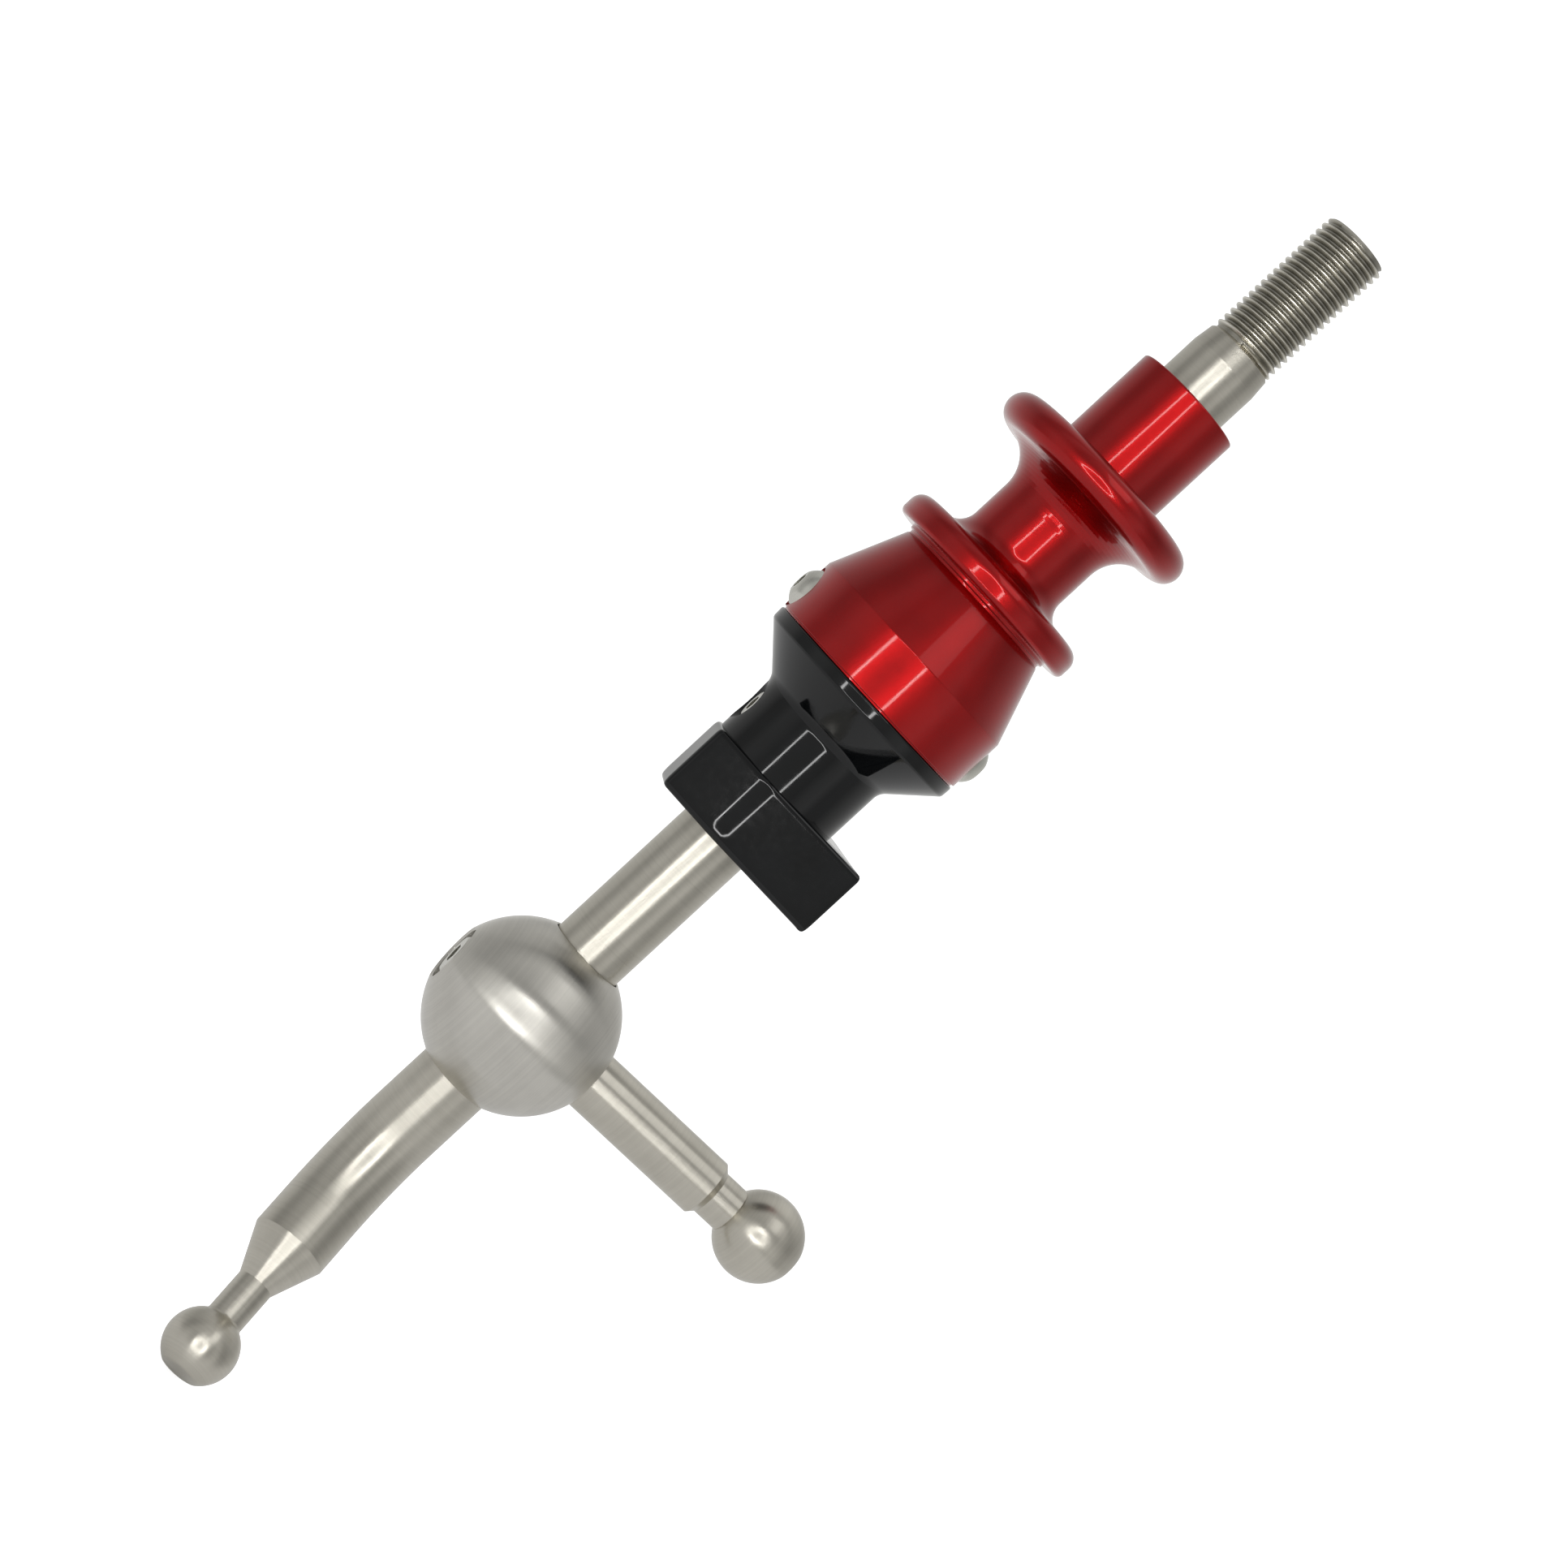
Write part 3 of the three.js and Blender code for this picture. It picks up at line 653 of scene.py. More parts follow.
def make_rod():
    top_r = THREAD_TIP_R
    profile = rod_profile() + [(top_r, THREAD_BOTTOM_Z), (3.0, THREAD_BOTTOM_Z), (0.0, THREAD_BOTTOM_Z)]
    rod = bend(turned("lever_rod_fine", profile))
    screw_hole = place(bore("hole", SCREW_HOLE_R, -PIVOT_R, PIVOT_R, 48), ALONG_ARM)
    cut(rod, screw_hole, guide_slot())
    end = turned("end", [(top_r, ROD_TOP_Z), (3.0, ROD_TOP_Z), (0.0, ROD_TOP_Z)], segments=120)
    thread = helix_thread()
    for part in (end, thread):
        part.data.materials.clear()
    joined(rod, end, thread)
    finished(rod, STEEL, "lever", 30)
    rod.data.materials.append(THREAD_STEEL)
    low, high = (THREAD_BOTTOM_Z + 0.05) * MM, (ROD_TOP_Z - 0.01) * MM
    for face in rod.data.polygons:
        if low < face.center.z < high:
            face.material_index = 1


def make_pivot_ball():
    pocket_z = -math.sqrt(PIVOT_R ** 2 - (CLAMP_POCKET_R + 0.45) ** 2)
    socket_z = math.sqrt(PIVOT_R ** 2 - (ARM_R + FIT + 0.15) ** 2)
    from_angle = math.degrees(math.asin(pocket_z / PIVOT_R))
    to_angle = math.degrees(math.asin(socket_z / PIVOT_R))
    floor_z = CLAMP_HEAD_TOP + 5.4
    profile = [(SCREW_HOLE_R, floor_z), (CLAMP_POCKET_R, floor_z), (CLAMP_POCKET_R, pocket_z + 0.3)]
    profile += arc(0, 0, PIVOT_R, from_angle, to_angle, 110)
    profile += [(ARM_R + FIT, socket_z - 0.15), (ARM_R + FIT, ARM_SOCKET_END), (SCREW_HOLE_R, ARM_SOCKET_END)]
    ball = place(turned("pivot_ball_fine", profile, closed=True, segments=192), ALONG_ARM)
    mouth = math.sqrt(PIVOT_R ** 2 - (ROD_R + FIT) ** 2) + 0.35
    through = bore("through", ROD_R + FIT, -mouth, mouth, 160, 0.6, 0.6)
    cut(ball, through)
    finished(ball, BALL_STEEL, "lever", 30)


def make_side_arm():
    neck_angle = -math.degrees(math.acos(ARM_NECK_R / ARM_BALL_R))
    flat_angle = math.degrees(math.acos(ARM_FLAT_R / ARM_BALL_R))
    flat_z = ARM_BALL_AT + math.sqrt(ARM_BALL_R ** 2 - ARM_FLAT_R ** 2)
    profile = [(0, ARM_INNER_END), (ARM_R - 0.3, ARM_INNER_END), (ARM_R, ARM_INNER_END + 0.3)]
    profile += [(ARM_R, 16), (ARM_R, 28)]
    ball_start = arc(0, ARM_BALL_AT, ARM_BALL_R, neck_angle + 2, flat_angle - 1, 48)
    profile += rounded([(ARM_R, ARM_STEP - 3, 0), (ARM_R, ARM_STEP, 0.08),
                        (ARM_NECK_R, ARM_STEP + ARM_R - ARM_NECK_R, 0.1),
                        (ARM_NECK_R, ball_start[0][1] - 0.05, 0), (*ball_start[0], 0)], steps=4)[:-1]
    profile += ball_start + [(ARM_FLAT_R - 0.12, flat_z), (0, flat_z)]
    arm = place(turned("side_arm_fine", profile), ALONG_ARM)
    finished(arm, STEEL, "lever", 30)


def hex_cutter(across, bottom, top):
    corner = across / math.sqrt(3)
    profile = [(0, bottom), (corner, bottom), (corner, top - 0.05)]
    profile += [(corner * 0.5, top + 0.25), (0, top + 0.35)]
    return turned("hex", profile, segments=6)


def cap_screw(name, head_r, head_h, shank_r, length, hex_across):
    """A socket head cap screw round Z with a knurled head: the head's top is at z = 0."""
    def knurl(a, r, z):
        if r > head_r - 0.02 and 0.5 < z < head_h - 0.3:
            return r - 0.09 * (0.5 + 0.5 * math.cos(36 * a))
        return r
    corners = [(0.0, 0.0, 0), (head_r - 0.35, 0, 0.15), (head_r, 0.35, 0.15), (head_r, 0.55, 0)]
    profile = rounded(corners, steps=3)
    profile += [(head_r, head_h - 0.35), (head_r - 0.1, head_h), (shank_r, head_h)]
    profile += [(shank_r, head_h + length - 0.3), (shank_r - 0.3, head_h + length), (0, head_h + length)]
    screw = turned(name, profile, segments=144, shape=knurl)
    return cut(screw, hex_cutter(hex_across, -1, head_h * 0.5))


def button_screw(name):
    dome_r = (BUTTON_HEAD_R ** 2 + BUTTON_HEAD_H ** 2) / (2 * BUTTON_HEAD_H)
    flat_r = 1.9
    start = -math.degrees(math.acos(flat_r / dome_r))
    end = -math.degrees(math.acos(BUTTON_HEAD_R / dome_r))
    dome = arc(0, dome_r, dome_r, start, end, 16)
    crown = dome[0][1]
    profile = [(0, crown)] + dome
    profile += [(BUTTON_HEAD_R - 0.1, BUTTON_HEAD_H), (BUTTON_SHANK_R, BUTTON_HEAD_H)]
    profile += [(BUTTON_SHANK_R, BUTTON_HEAD_H + 6.7), (BUTTON_SHANK_R - 0.3, BUTTON_HEAD_H + 7)]
    profile.append((0, BUTTON_HEAD_H + 7))
    return cut(turned(name, profile, segments=96), hex_cutter(2.5, -1, 1.4))


def spring_point(t):
    low = SPRING_BOTTOM_Z + SPRING_WIRE_R
    high = SPRING_TOP_Z - SPRING_WIRE_R
    flat = 1 / SPRING_TURNS
    rise = min(max((t - flat) / (1 - 2 * flat), 0), 1)
    pitch = 2 * SPRING_WIRE_R + 0.1
    closed = pitch * (min(t, flat) + max(t - 1 + flat, 0)) * SPRING_TURNS
    angle = 2 * math.pi * SPRING_TURNS * t
    return Vector((SPRING_R * math.cos(angle), SPRING_R * math.sin(angle),
                   low + closed + (high - low - 2 * pitch) * rise))


def make_spring():
    steps, sides = 72 * SPRING_TURNS, 16
    rings = []
    for i in range(steps + 1):
        t = i / steps
        here = spring_point(t)
        ahead = (spring_point(min(t + 1e-4, 1)) - spring_point(max(t - 1e-4, 0))).normalized()
        outward = Vector((here.x, here.y, 0)).normalized()
        up = ahead.cross(outward).normalized()
        out = up.cross(ahead)
        ring = []
        for k in range(sides):
            a = 2 * math.pi * k / sides
            ring.append(tuple(here + SPRING_WIRE_R * (out * math.cos(a) + up * math.sin(a))))
        rings.append(ring)
    rings = [[tuple(spring_point(0))] * sides] + rings + [[tuple(spring_point(1))] * sides]
    spring = mesh_from_rings("lift_spring_fine", rings, [0.7 * i for i in range(len(rings))], False)
    finished(spring, SPRING_STEEL, "lever", 40)
    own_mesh(spring)


def washer(name, inner, outer, bottom, top, edge=0.12):
    corners = [(inner, bottom, edge), (outer, bottom, edge), (outer, top, edge), (inner, top, edge)]
    return turned(name, rounded(corners, closed=True, steps=3), closed=True, segments=96)


def make_ring():
    """The open snap ring in the rod's groove."""
    inner, outer, gap = RING_INNER_R, RING_OUTER_R, RING_HALF_GAP
    rings = []
    section = rounded([(inner, RING_Z, 0.1), (outer, RING_Z, 0.1), (outer, RING_Z + RING_H, 0.1),
                       (inner, RING_Z + RING_H, 0.1)], closed=True, steps=2)
    for k in range(97):
        a = gap + (2 * math.pi - 2 * gap) * k / 96
        rings.append([(r * math.cos(a), r * math.sin(a), z) for r, z in section])
    middle = [((inner + outer) / 2 * math.cos(a), (inner + outer) / 2 * math.sin(a), RING_Z + RING_H / 2)
              for a in (gap, -gap)]
    rings = [[middle[0]] * len(section)] + rings + [[middle[1]] * len(section)]
    ring = mesh_from_rings("retaining_ring_fine", rings, [0.5 * i for i in range(len(rings))], False)
    finished(ring, SPRING_STEEL, "lever", 35)


def make_small_parts():
    clamp = cap_screw("clamp_screw_fine", CLAMP_HEAD_R, CLAMP_HEAD_H, CLAMP_SHANK_R,
                      CLAMP_END - CLAMP_HEAD_TOP, CLAMP_HEX)
    place(clamp, ALONG_ARM @ Matrix.Translation((0, 0, CLAMP_HEAD_TOP * MM)))
    finished(clamp, SCREW_STEEL, "lever", 25)
    under_head = CLAMP_HEAD_TOP + CLAMP_HEAD_H + FIT
    under = washer("clamp_washer_fine", SCREW_HOLE_R, CLAMP_WASHER_R, under_head,
                   under_head + PLATE_THICKNESS)
    place(under, ALONG_ARM)
    finished(under, SCREW_STEEL, "lever")
    seat = washer("upper_spring_seat_fine", ROD_R + FIT, UPPER_SEAT_R, UPPER_SEAT_BOTTOM_Z,
                  UPPER_SEAT_TOP_Z)
    finished(seat, SCREW_STEEL, "lever")
    make_ring()

    for name, side in (("collar_screw_left", -1), ("collar_screw_right", 1)):
        screw = button_screw(name + "_fine")
        turn = Matrix.Rotation(-side * math.pi / 2, 4, "Y")
        at = Matrix.Translation((side * (BUTTON_SEAT_X + BUTTON_HEAD_H) * MM, 0, BUTTON_Z * MM))
        place(screw, at @ turn @ Matrix.Rotation(0.3, 4, "Z"))
        finished(screw, SCREW_STEEL, "collar", 25)
    guide_length = GUIDE_HEAD_TOP - GUIDE_HEAD_H - GUIDE_TIP_END
    guide = cap_screw("guide_screw_fine", GUIDE_HEAD_R, GUIDE_HEAD_H, GUIDE_TIP_R, guide_length, GUIDE_HEX)
    at = Matrix.Translation((-GUIDE_HEAD_TOP * MM, 0, GUIDE_Z * MM))
    place(guide, at @ Matrix.Rotation(math.pi / 2, 4, "Y"))
    finished(guide, SCREW_STEEL, "collar", 25)

    bush_bore = ROD_R + 0.1
    upper = washer("upper_bush_fine", bush_bore, BUSH_R, UPPER_BUSH_SEAT_Z + FIT, TUBE_TOP_Z - FIT, 0.3)
    lower = washer("lower_bush_fine", bush_bore, BUSH_R, BLOCK_BOTTOM_Z + FIT, LOWER_BUSH_TOP_Z, 0.3)
    for bush in (upper, lower):
        finished(bush, PLASTIC, "collar")
    bottom = SPRING_POCKET_Z + FIT
    seat = washer("lower_spring_seat_fine", ROD_R + FIT, SPRING_POCKET_R - FIT, bottom,
                  bottom + PLATE_THICKNESS)
    finished(seat, SCREW_STEEL, "collar")


# ---- collar

def make_collar():
    rim_low = UPPER_RIM_Z - UPPER_RIM_R
    corners = [
        (BELL_INNER_R, BELL_BOTTOM_Z - 0.25, 0),
        (BELL_R - 0.4, BELL_BOTTOM_Z - 0.25, 0),
        (BELL_R - 0.4, BELL_BOTTOM_Z, 0),
        (BELL_R, BELL_BOTTOM_Z, 0.2),
        (BELL_R, BELL_CYLINDER_TOP_Z, 0.8),
        (BELL_TOP_R, BELL_TOP_Z, 0.25),
        (BELL_TOP_R - 0.25, BELL_TOP_Z + 0.25, 0.12),
        (BELL_TOP_R - 0.25, BELL_TOP_Z + 0.65, 0.12),
        (BELL_TOP_R + 0.2, BELL_TOP_Z + 0.85, 0.12),
        (BELL_TOP_R + 0.2, FLANGE_BOTTOM_Z, 0.2),
        (FLANGE_R, FLANGE_BOTTOM_Z, 1.1),
        (FLANGE_R, FLANGE_TOP_Z, 2.3),
        (TUBE_R, FLANGE_TOP_Z, LOWER_FILLET),
        (TUBE_R, rim_low, UPPER_FILLET),
    ]
    profile = rounded(corners + [(UPPER_RIM_CENTRE_R, rim_low, 0)], steps=14)
    profile += arc(UPPER_RIM_CENTRE_R, UPPER_RIM_Z, UPPER_RIM_R, -90, 90, 36)[1:]
    rim_high = UPPER_RIM_Z + UPPER_RIM_R
    corners = [
        (UPPER_RIM_CENTRE_R, rim_high, 0),
        (TUBE_R, rim_high, 0.25),
        (TUBE_R, TUBE_TOP_Z, 0.35),
        (BUSH_R + FIT, TUBE_TOP_Z, 0.2),
        (BUSH_R + FIT, UPPER_BUSH_SEAT_Z, 0),
        (COLLAR_BORE_R, UPPER_BUSH_SEAT_Z, 0),
        (COLLAR_BORE_R, COLLAR_BORE_BOTTOM_Z, 0),
        (BELL_ROOF_R, BELL_ROOF_Z, 0),
        (BELL_INNER_R, BELL_ROOF_EDGE_Z, 0),
    ]
    profile += rounded(corners, steps=6)[1:]
    profile.append((BELL_INNER_R, BELL_ROOF_EDGE_Z))
    collar = turned("lift_collar_fine", profile, closed=True, segments=256)
    cutters = []
    for side in (1, -1):
        seat = bore("seat", BUTTON_HEAD_R + FIT, BUTTON_SEAT_X - FIT, BELL_R + 1, 96)
        hole = bore("hole", SCREW_HOLE_R, BELL_INNER_R - 1, BELL_R, 48)
        cutters += [place(seat, along_x(side, BUTTON_Z)), place(hole, along_x(side, BUTTON_Z))]
    cut(collar, *cutters)
    finished(collar, RED, "collar", 32)


def block_outline():
    """The block's plan, counter-clockwise, with rounded corners."""
    ridge_x, ridge_y, ridge_r = -0.57, -3.25, 9.3
    turn = math.radians(22)
    rear_x, rear_r = 1.2, 14.1
    left_x = rear_x - rear_r
    fin_x = 17.85
    tangent = (ridge_x - ridge_r * math.sin(turn), ridge_y - ridge_r * math.cos(turn))
    left_y = tangent[1] + (tangent[0] - left_x) * math.tan(turn)
    points = []
    for k in range(25):
        a = 1.5 * math.pi - turn + turn * k / 24
        points.append((ridge_x + ridge_r * math.cos(a), ridge_y + ridge_r * math.sin(a)))
    points += rounded([(ridge_x + 1, BLOCK_FRONT_Y, 0), (fin_x, BLOCK_FRONT_Y, 0.45),
                       (fin_x, BLOCK_FRONT_Y + 0.9, 0.3), (15.22, 1.47, 0)], steps=6)[1:-1]
    for k in range(97):
        a = math.radians(6 + 174 * k / 96)
        points.append((rear_x + rear_r * math.cos(a), rear_r * math.sin(a)))
    points += rounded([(left_x, 0, 0), (left_x, left_y, 1.3), (*tangent, 0)], steps=12)[1:-1]
    return dense(points)


def dense(points, longest=0.7):
    """The same closed path with its long edges divided."""
    out = []
    for (x0, y0), (x1, y1) in zip(points, points[1:] + points[:1]):
        parts = max(1, math.ceil(math.hypot(x1 - x0, y1 - y0) / longest))
        out += [(x0 + (x1 - x0) * k / parts, y0 + (y1 - y0) * k / parts) for k in range(parts)]
    return out


# How far the block's outline draws in at a height from its lower and its upper face.
LOWER_EDGE = [(1.0, 0), (0.7, 0.03), (0.45, 0.11), (0.28, 0.24), (0.17, 0.42), (0.1, 0.66), (0.055, 0.96),
              (0.025, 1.3), (0.008, 1.7), (0, 2.2), (0, 2.3)]
UPPER_EDGE = [(0.9, 0), (0.62, 0.03), (0.38, 0.11), (0.22, 0.23), (0.12, 0.4), (0.05, 0.62), (0.015, 0.85),
              (0, 1.1), (0, 1.2)]


def inset(points, distance):
    """The closed path moved inwards."""
    out = []
    count = len(points)
    for i, (x, y) in enumerate(points):
        before, after = points[i - 1], points[(i + 1) % count]
        along = Vector((after[0] - before[0], after[1] - before[1])).normalized()
        out.append((x - along.y * distance, y + along.x * distance))
    return out


def make_foot():
    outline = block_outline()
    rings = []

    def ring(points, z):
        rings.append([(x, y, z) for x, y in points])

    def hub(radius):
        out = []
        for x, y in outline:
            a = math.atan2(y, x)
            out.append((radius * math.cos(a), radius * math.sin(a)))
        return out
    ring(hub(BUSH_R + FIT), BLOCK_TOP_Z)
    ring(hub(BUSH_R + FIT), BLOCK_BOTTOM_Z + 0.3)
    ring(hub(BUSH_R + FIT + 0.3), BLOCK_BOTTOM_Z)
    for inwards, height in LOWER_EDGE:
        ring(inset(outline, inwards), BLOCK_BOTTOM_Z + height)
    for inwards, height in reversed(UPPER_EDGE):
        ring(inset(outline, inwards), BLOCK_TOP_Z - height)
    block = mesh_from_rings("block", rings, [float(i) for i in range(len(rings))], True)

    corners = [
        (NECK_R, BLOCK_TOP_Z - 3, 0),
        (NECK_R, FLARE_BOTTOM_Z + 0.3, 2.6),
        (BELL_R - 0.1, RIM_BOTTOM_Z, 0.9),
        (BELL_R, BELL_BOTTOM_Z - FIT, 0.45),
        (BELL_INNER_R - FIT, BELL_BOTTOM_Z - FIT, 0.1),
        (BELL_INNER_R - FIT, SPIGOT_TOP_Z, 0.3),
        (SPRING_POCKET_R, SPIGOT_TOP_Z, 0.3),
        (SPRING_POCKET_R, SPRING_POCKET_Z, 0),
        (ROD_R + FIT, SPRING_POCKET_Z, 0),
        (ROD_R + FIT, LOWER_BUSH_TOP_Z + FIT, 0),
        (BUSH_R + FIT, LOWER_BUSH_TOP_Z + FIT, 0),
        (BUSH_R + FIT, BLOCK_TOP_Z - 3, 0),
    ]
    neck = turned("lockout_foot_fine", rounded(corners, steps=8), closed=True, segments=256)
    floor = GUIDE_HEAD_TOP - GUIDE_HEAD_H - FIT
    hole_r, pocket_r, mouth_r = 1.7, 3.15, 4.1
    pocket = turned("pocket", [(0, 5), (hole_r, 5), (hole_r, floor), (pocket_r, floor),
                               (pocket_r, NECK_R - 0.9), (mouth_r, NECK_R), (mouth_r + 0.2, NECK_R + 0.6),
                               (mouth_r + 0.2, NECK_R + 2), (0, NECK_R + 2)], segments=96)
    cutters = [place(pocket, along_x(-1, GUIDE_Z))]
    for side in (1, -1):
        hole = bore("hole", SCREW_HOLE_R, SPRING_POCKET_R - 1, BELL_INNER_R, 48)
        cutters.append(place(hole, along_x(side, BUTTON_Z)))
    cut(neck, *cutters)
    joined(neck, block)
    finished(neck, BLACK, "collar", 32)


make_rod()
make_pivot_ball()
make_side_arm()
make_spring()
make_small_parts()
make_collar()
make_foot()


# ---- camera

CAMERA_AZIMUTH = math.radians(-9.5)
CAMERA_ELEVATION = math.radians(2.8)
CAMERA_ROLL = math.radians(47.31)
CAMERA_DISTANCE = 0.504
CAMERA_TARGET = Vector((0.00117, 0, 0.054014))
PHOTO_WIDTH = 1932
PHOTO_PIXELS_PER_METRE = 8030
VIEW_WIDTH = PHOTO_WIDTH / PHOTO_PIXELS_PER_METRE

right = Vector((math.cos(CAMERA_AZIMUTH), math.sin(CAMERA_AZIMUTH), 0))
back = Vector((math.sin(CAMERA_AZIMUTH) * math.cos(CAMERA_ELEVATION),
               -math.cos(CAMERA_AZIMUTH) * math.cos(CAMERA_ELEVATION), math.sin(CAMERA_ELEVATION)))
up = back.cross(right)
image_right = right * math.cos(CAMERA_ROLL) + up * math.sin(CAMERA_ROLL)
image_up = up * math.cos(CAMERA_ROLL) - right * math.sin(CAMERA_ROLL)


def make_camera():
    data = bpy.data.cameras.new("camera")
    data.sensor_width = 36
    data.lens = 36 * CAMERA_DISTANCE / VIEW_WIDTH
    data.clip_start, data.clip_end = 0.01, 50
    camera = bpy.data.objects.new("camera", data)
    turn = Matrix((image_right, image_up, back)).transposed().to_4x4()
    camera.matrix_world = Matrix.Translation(CAMERA_TARGET + back * CAMERA_DISTANCE) @ turn
    bpy.context.scene.collection.objects.link(camera)
    bpy.context.scene.camera = camera


make_camera()


# ---- floor, surroundings and light

FLOOR_GAP = 0.0002
FLOOR_RADII = (0.1, 0.2, 0.32)
FLOOR_GLOW_TO_CAMERA = 0.75
FLOOR_GLOW_IN_REFLECTIONS = 0.22
FLOOR_GREY_IN_REFLECTIONS = 0.32


def make_floor():
    """A round sheet of paper, nearly white to the camera and dimmer to every other ray."""
    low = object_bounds()[0][2] - FLOOR_GAP
    sides = 96
    rings = [[(0, 0, 0)] * sides]
    for r in FLOOR_RADII:
        turns = [2 * math.pi * k / sides for k in range(sides)]
        rings.append([(r / MM * math.cos(a), r / MM * math.sin(a), 0) for a in turns])
    floor = mesh_from_rings("floor", rings, [0, 1, 2, 3], False)
    place(floor, Matrix.Translation((0, 0, low)))
    for face in floor.data.polygons:
        if face.normal.z < 0:
            face.flip()
    material, tree, shader = new_material("floor_paper")
    place_at = tree.nodes.new("ShaderNodeTexCoord").outputs["Object"]
    paper = noise(tree, place_at, 220, 5)
    colour = ramp(tree, paper, [(0.3, (0.6, 0.6, 0.6)), (0.7, (0.64, 0.64, 0.64))])
    tree.links.new(colour, shader.inputs["Base Color"])
    shader.inputs["Roughness"].default_value = 0.7
    shader.inputs["Specular IOR Level"].default_value = 0.1
    shader.inputs["Emission Color"].default_value = (1, 1, 1, 1)
    shader.inputs["Emission Strength"].default_value = FLOOR_GLOW_TO_CAMERA
    grey = FLOOR_GREY_IN_REFLECTIONS
    lit = node(tree, "ShaderNodeBsdfDiffuse", Color=(grey, grey, grey, 1))
    glow = node(tree, "ShaderNodeEmission", Color=(1, 1, 1, 1), Strength=FLOOR_GLOW_IN_REFLECTIONS)
    dim = tree.nodes.new("ShaderNodeAddShader")
    tree.links.new(lit.outputs[0], dim.inputs[0])
    tree.links.new(glow.outputs[0], dim.inputs[1])
    either = tree.nodes.new("ShaderNodeMixShader")
    rays = tree.nodes.new("ShaderNodeLightPath")
    tree.links.new(rays.outputs["Is Camera Ray"], either.inputs[0])
    tree.links.new(dim.outputs[0], either.inputs[1])
    tree.links.new(shader.outputs[0], either.inputs[2])
    tree.links.new(either.outputs[0], tree.nodes["Material Output"].inputs["Surface"])
    floor.data.materials.append(material)


# the brightness of the tent's walls by direction, in degrees round from the camera's side,
# tuned against the photo
WALLS = [(-180, 0.8), (-165, 0.62), (-150, 0.6), (-128, 0.55), (-104, 0.5), (-90, 0.32), (-75, 0.38),
         (-62, 0.56), (-50, 0.54), (-36, 0.4), (-24, 0.48), (0, 0.46), (22, 0.44), (34, 0.38),
         (46, 0.58), (58, 0.66), (70, 0.38), (88, 0.34), (104, 0.48), (128, 0.55), (150, 0.62),
         (165, 0.68), (180, 0.8)]
WALLS_BLUE = 0.985
# the share of that brightness by height, from straight down at 0 to straight up at 1
HEIGHTS = [(0.0, 1), (0.5, 1), (0.72, 0.75), (1.0, 1.1)]
EVEN_BRIGHTNESS = 1.25


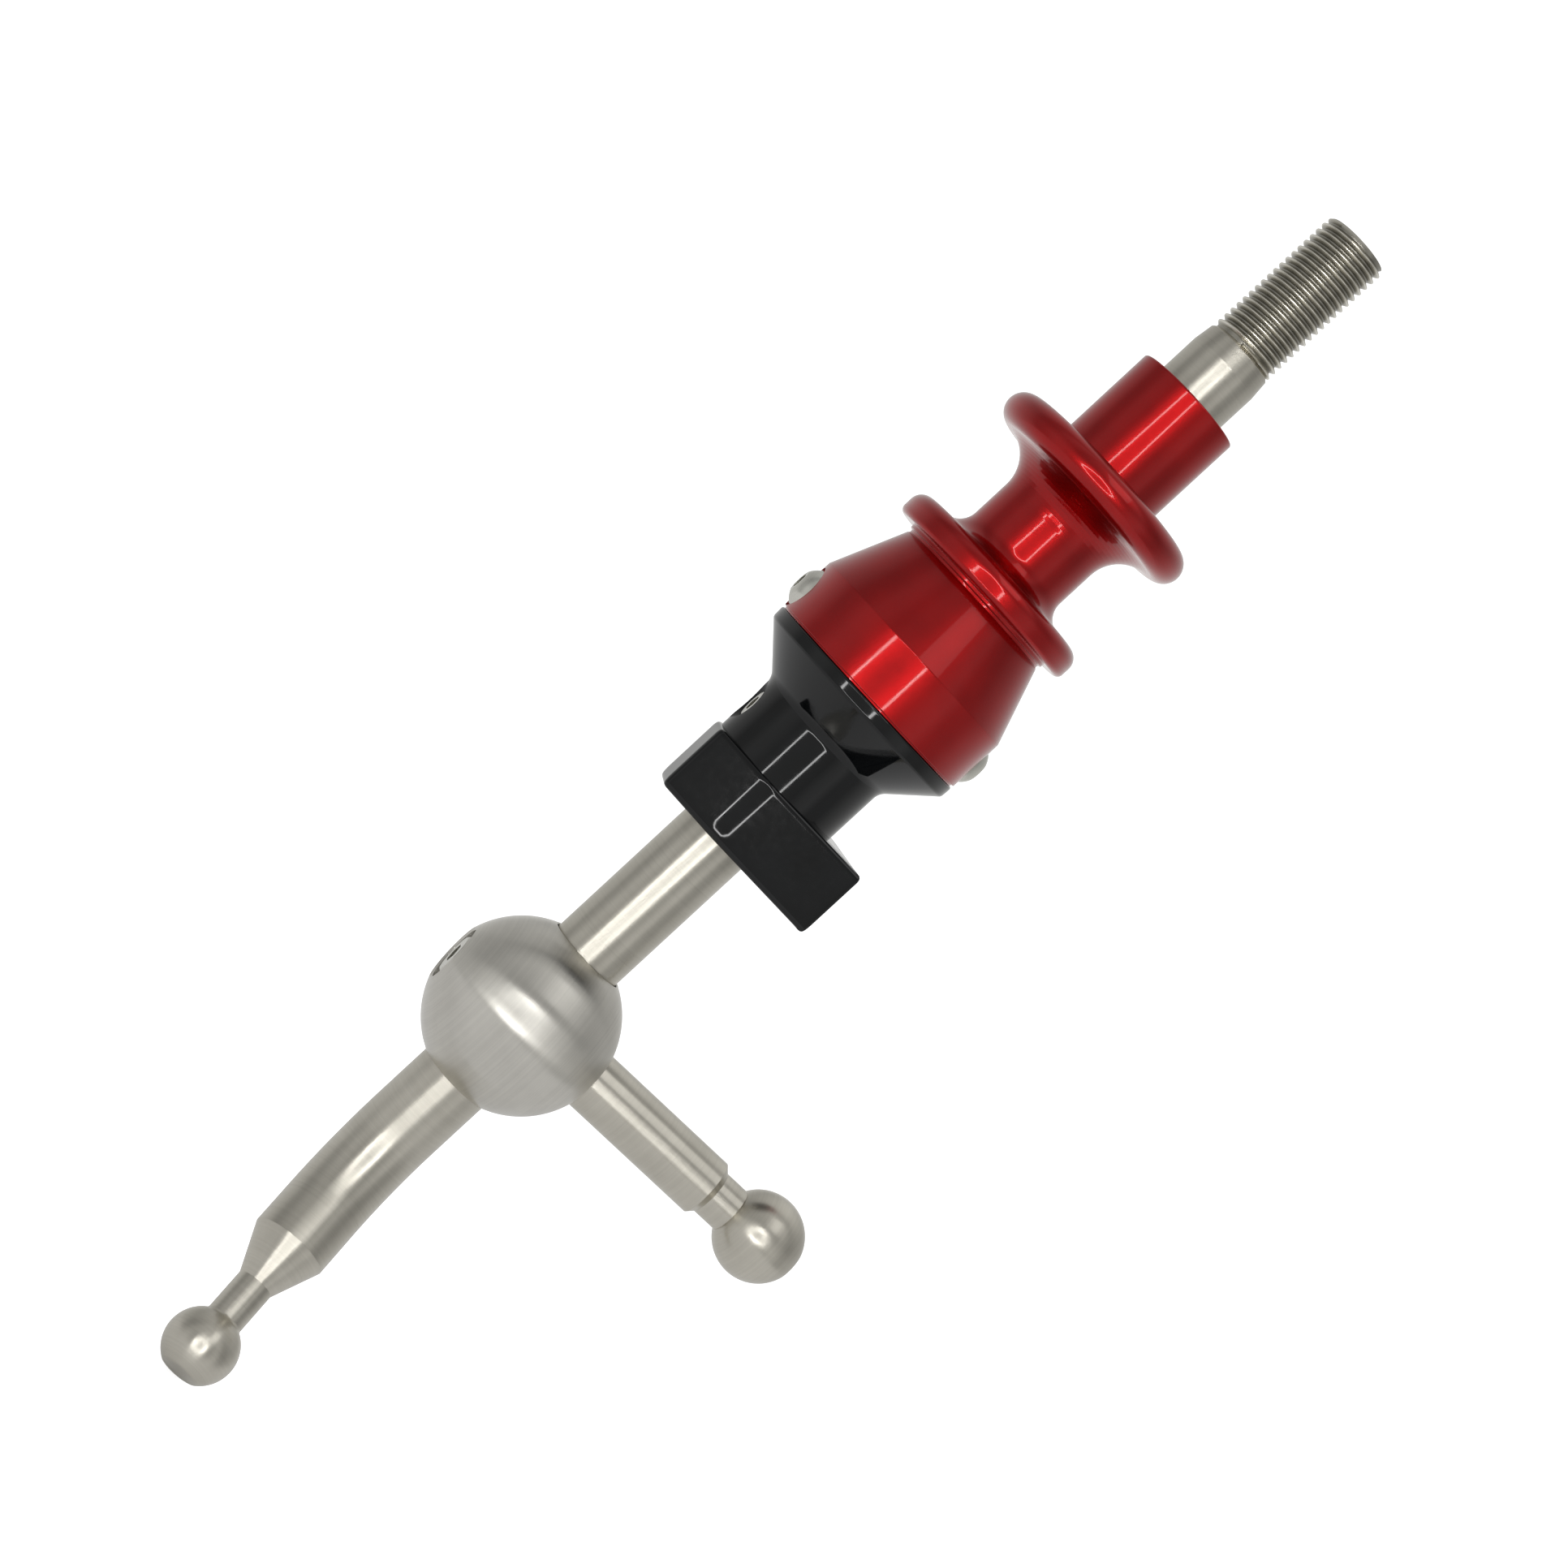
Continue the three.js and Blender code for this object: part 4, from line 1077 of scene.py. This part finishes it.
def make_surroundings():
    """A light tent: evenly white to camera and diffuse rays, with uneven walls for the metal to reflect."""
    world = bpy.data.worlds.new("tent")
    bpy.context.scene.world = world
    world.use_nodes = True
    tree = world.node_tree
    tree.nodes.clear()
    direction = tree.nodes.new("ShaderNodeTexCoord").outputs["Generated"]

    def towards(axis):
        made = tree.nodes.new("ShaderNodeVectorMath")
        made.operation = "DOT_PRODUCT"
        made.inputs[1].default_value = axis
        tree.links.new(direction, made.inputs[0])
        return made.outputs["Value"]

    front = Vector((back.x, back.y, 0)).normalized()
    angle = math_node(tree, "ARCTAN2", towards(right), towards(front))
    share = math_node(tree, "ADD", math_node(tree, "DIVIDE", angle, 2 * math.pi), 0.5)
    round_stops = [((at + 180) / 360, (level, level, level * WALLS_BLUE)) for at, level in WALLS]
    by_direction = ramp(tree, share, round_stops)
    rise = math_node(tree, "ADD", math_node(tree, "MULTIPLY", towards((0, 0, 1)), 0.5), 0.5)
    by_height = ramp(tree, rise, [(at, (level, level, level)) for at, level in HEIGHTS])
    product = tree.nodes.new("ShaderNodeMix")
    product.data_type = "RGBA"
    product.blend_type = "MULTIPLY"
    product.inputs["Factor"].default_value = 1
    tree.links.new(by_direction, product.inputs[6])
    tree.links.new(by_height, product.inputs[7])
    walls_light = tree.nodes.new("ShaderNodeBackground")
    tree.links.new(product.outputs[2], walls_light.inputs[0])
    even_light = tree.nodes.new("ShaderNodeBackground")
    even_light.inputs[0].default_value = (1, 1, 1, 1)
    even_light.inputs[1].default_value = EVEN_BRIGHTNESS
    rays = tree.nodes.new("ShaderNodeLightPath")
    plain = math_node(tree, "MAXIMUM", rays.outputs["Is Camera Ray"], rays.outputs["Is Diffuse Ray"])
    both = tree.nodes.new("ShaderNodeMixShader")
    tree.links.new(plain, both.inputs[0])
    tree.links.new(walls_light.outputs[0], both.inputs[1])
    tree.links.new(even_light.outputs[0], both.inputs[2])
    out = tree.nodes.new("ShaderNodeOutputWorld")
    tree.links.new(both.outputs[0], out.inputs[0])


def strip_light(name, start, end, width, radiance):
    """A straight strip between two points, facing the lever."""
    middle, along = (start + end) / 2, end - start
    data = bpy.data.lights.new(name, "AREA")
    data.shape = "RECTANGLE"
    data.size, data.size_y = along.length, width
    data.energy = radiance * math.pi * data.size * data.size_y
    lamp = bpy.data.objects.new(name, data)
    facing = (middle - CAMERA_TARGET).normalized()
    x_axis = (along - facing * along.dot(facing)).normalized()
    turn = Matrix((x_axis, facing.cross(x_axis), facing)).transposed().to_4x4()
    lamp.matrix_world = Matrix.Translation(middle) @ turn
    lamp.visible_camera = False
    bpy.context.scene.collection.objects.link(lamp)


# the frame's corners, across and up in metres at the camera's distance, tuned against the photo
FRAME_CORNERS = [(-0.212, 0.075), (-0.1, 0.215), (-0.02, 0.27), (0.084, 0.212), (0.164, 0.08),
                 (0.134, 0.008), (0.05, -0.05), (-0.12, -0.05), (-0.2, 0.005)]
FRAME_WIDTH = 0.022
FRAME_RADIANCE = 11.5
HIGH_STRIP_START = Vector((0.07, -0.37, 0.33))
HIGH_STRIP_END = Vector((0.07, -0.22, 0.62))
HIGH_STRIP_WIDTH = 0.2
HIGH_STRIP_RADIANCE = 0.85


def frame_point(x, z):
    """A point of the frame, x to the camera's right and z up."""
    flat = Vector((back.x, back.y, 0)).normalized()
    return flat * CAMERA_DISTANCE + right * x + Vector((0, 0, z))


def make_lights():
    """A slim frame of light round the camera, and a wide, dim strip high in front of the lever."""
    for i, corner in enumerate(FRAME_CORNERS):
        following = FRAME_CORNERS[(i + 1) % len(FRAME_CORNERS)]
        strip_light(f"frame_{i}", frame_point(*corner), frame_point(*following), FRAME_WIDTH,
                    FRAME_RADIANCE)
    strip_light("high_strip", HIGH_STRIP_START, HIGH_STRIP_END, HIGH_STRIP_WIDTH, HIGH_STRIP_RADIANCE)


make_floor()
make_surroundings()
make_lights()
bpy.context.scene.view_settings.view_transform = "Standard"
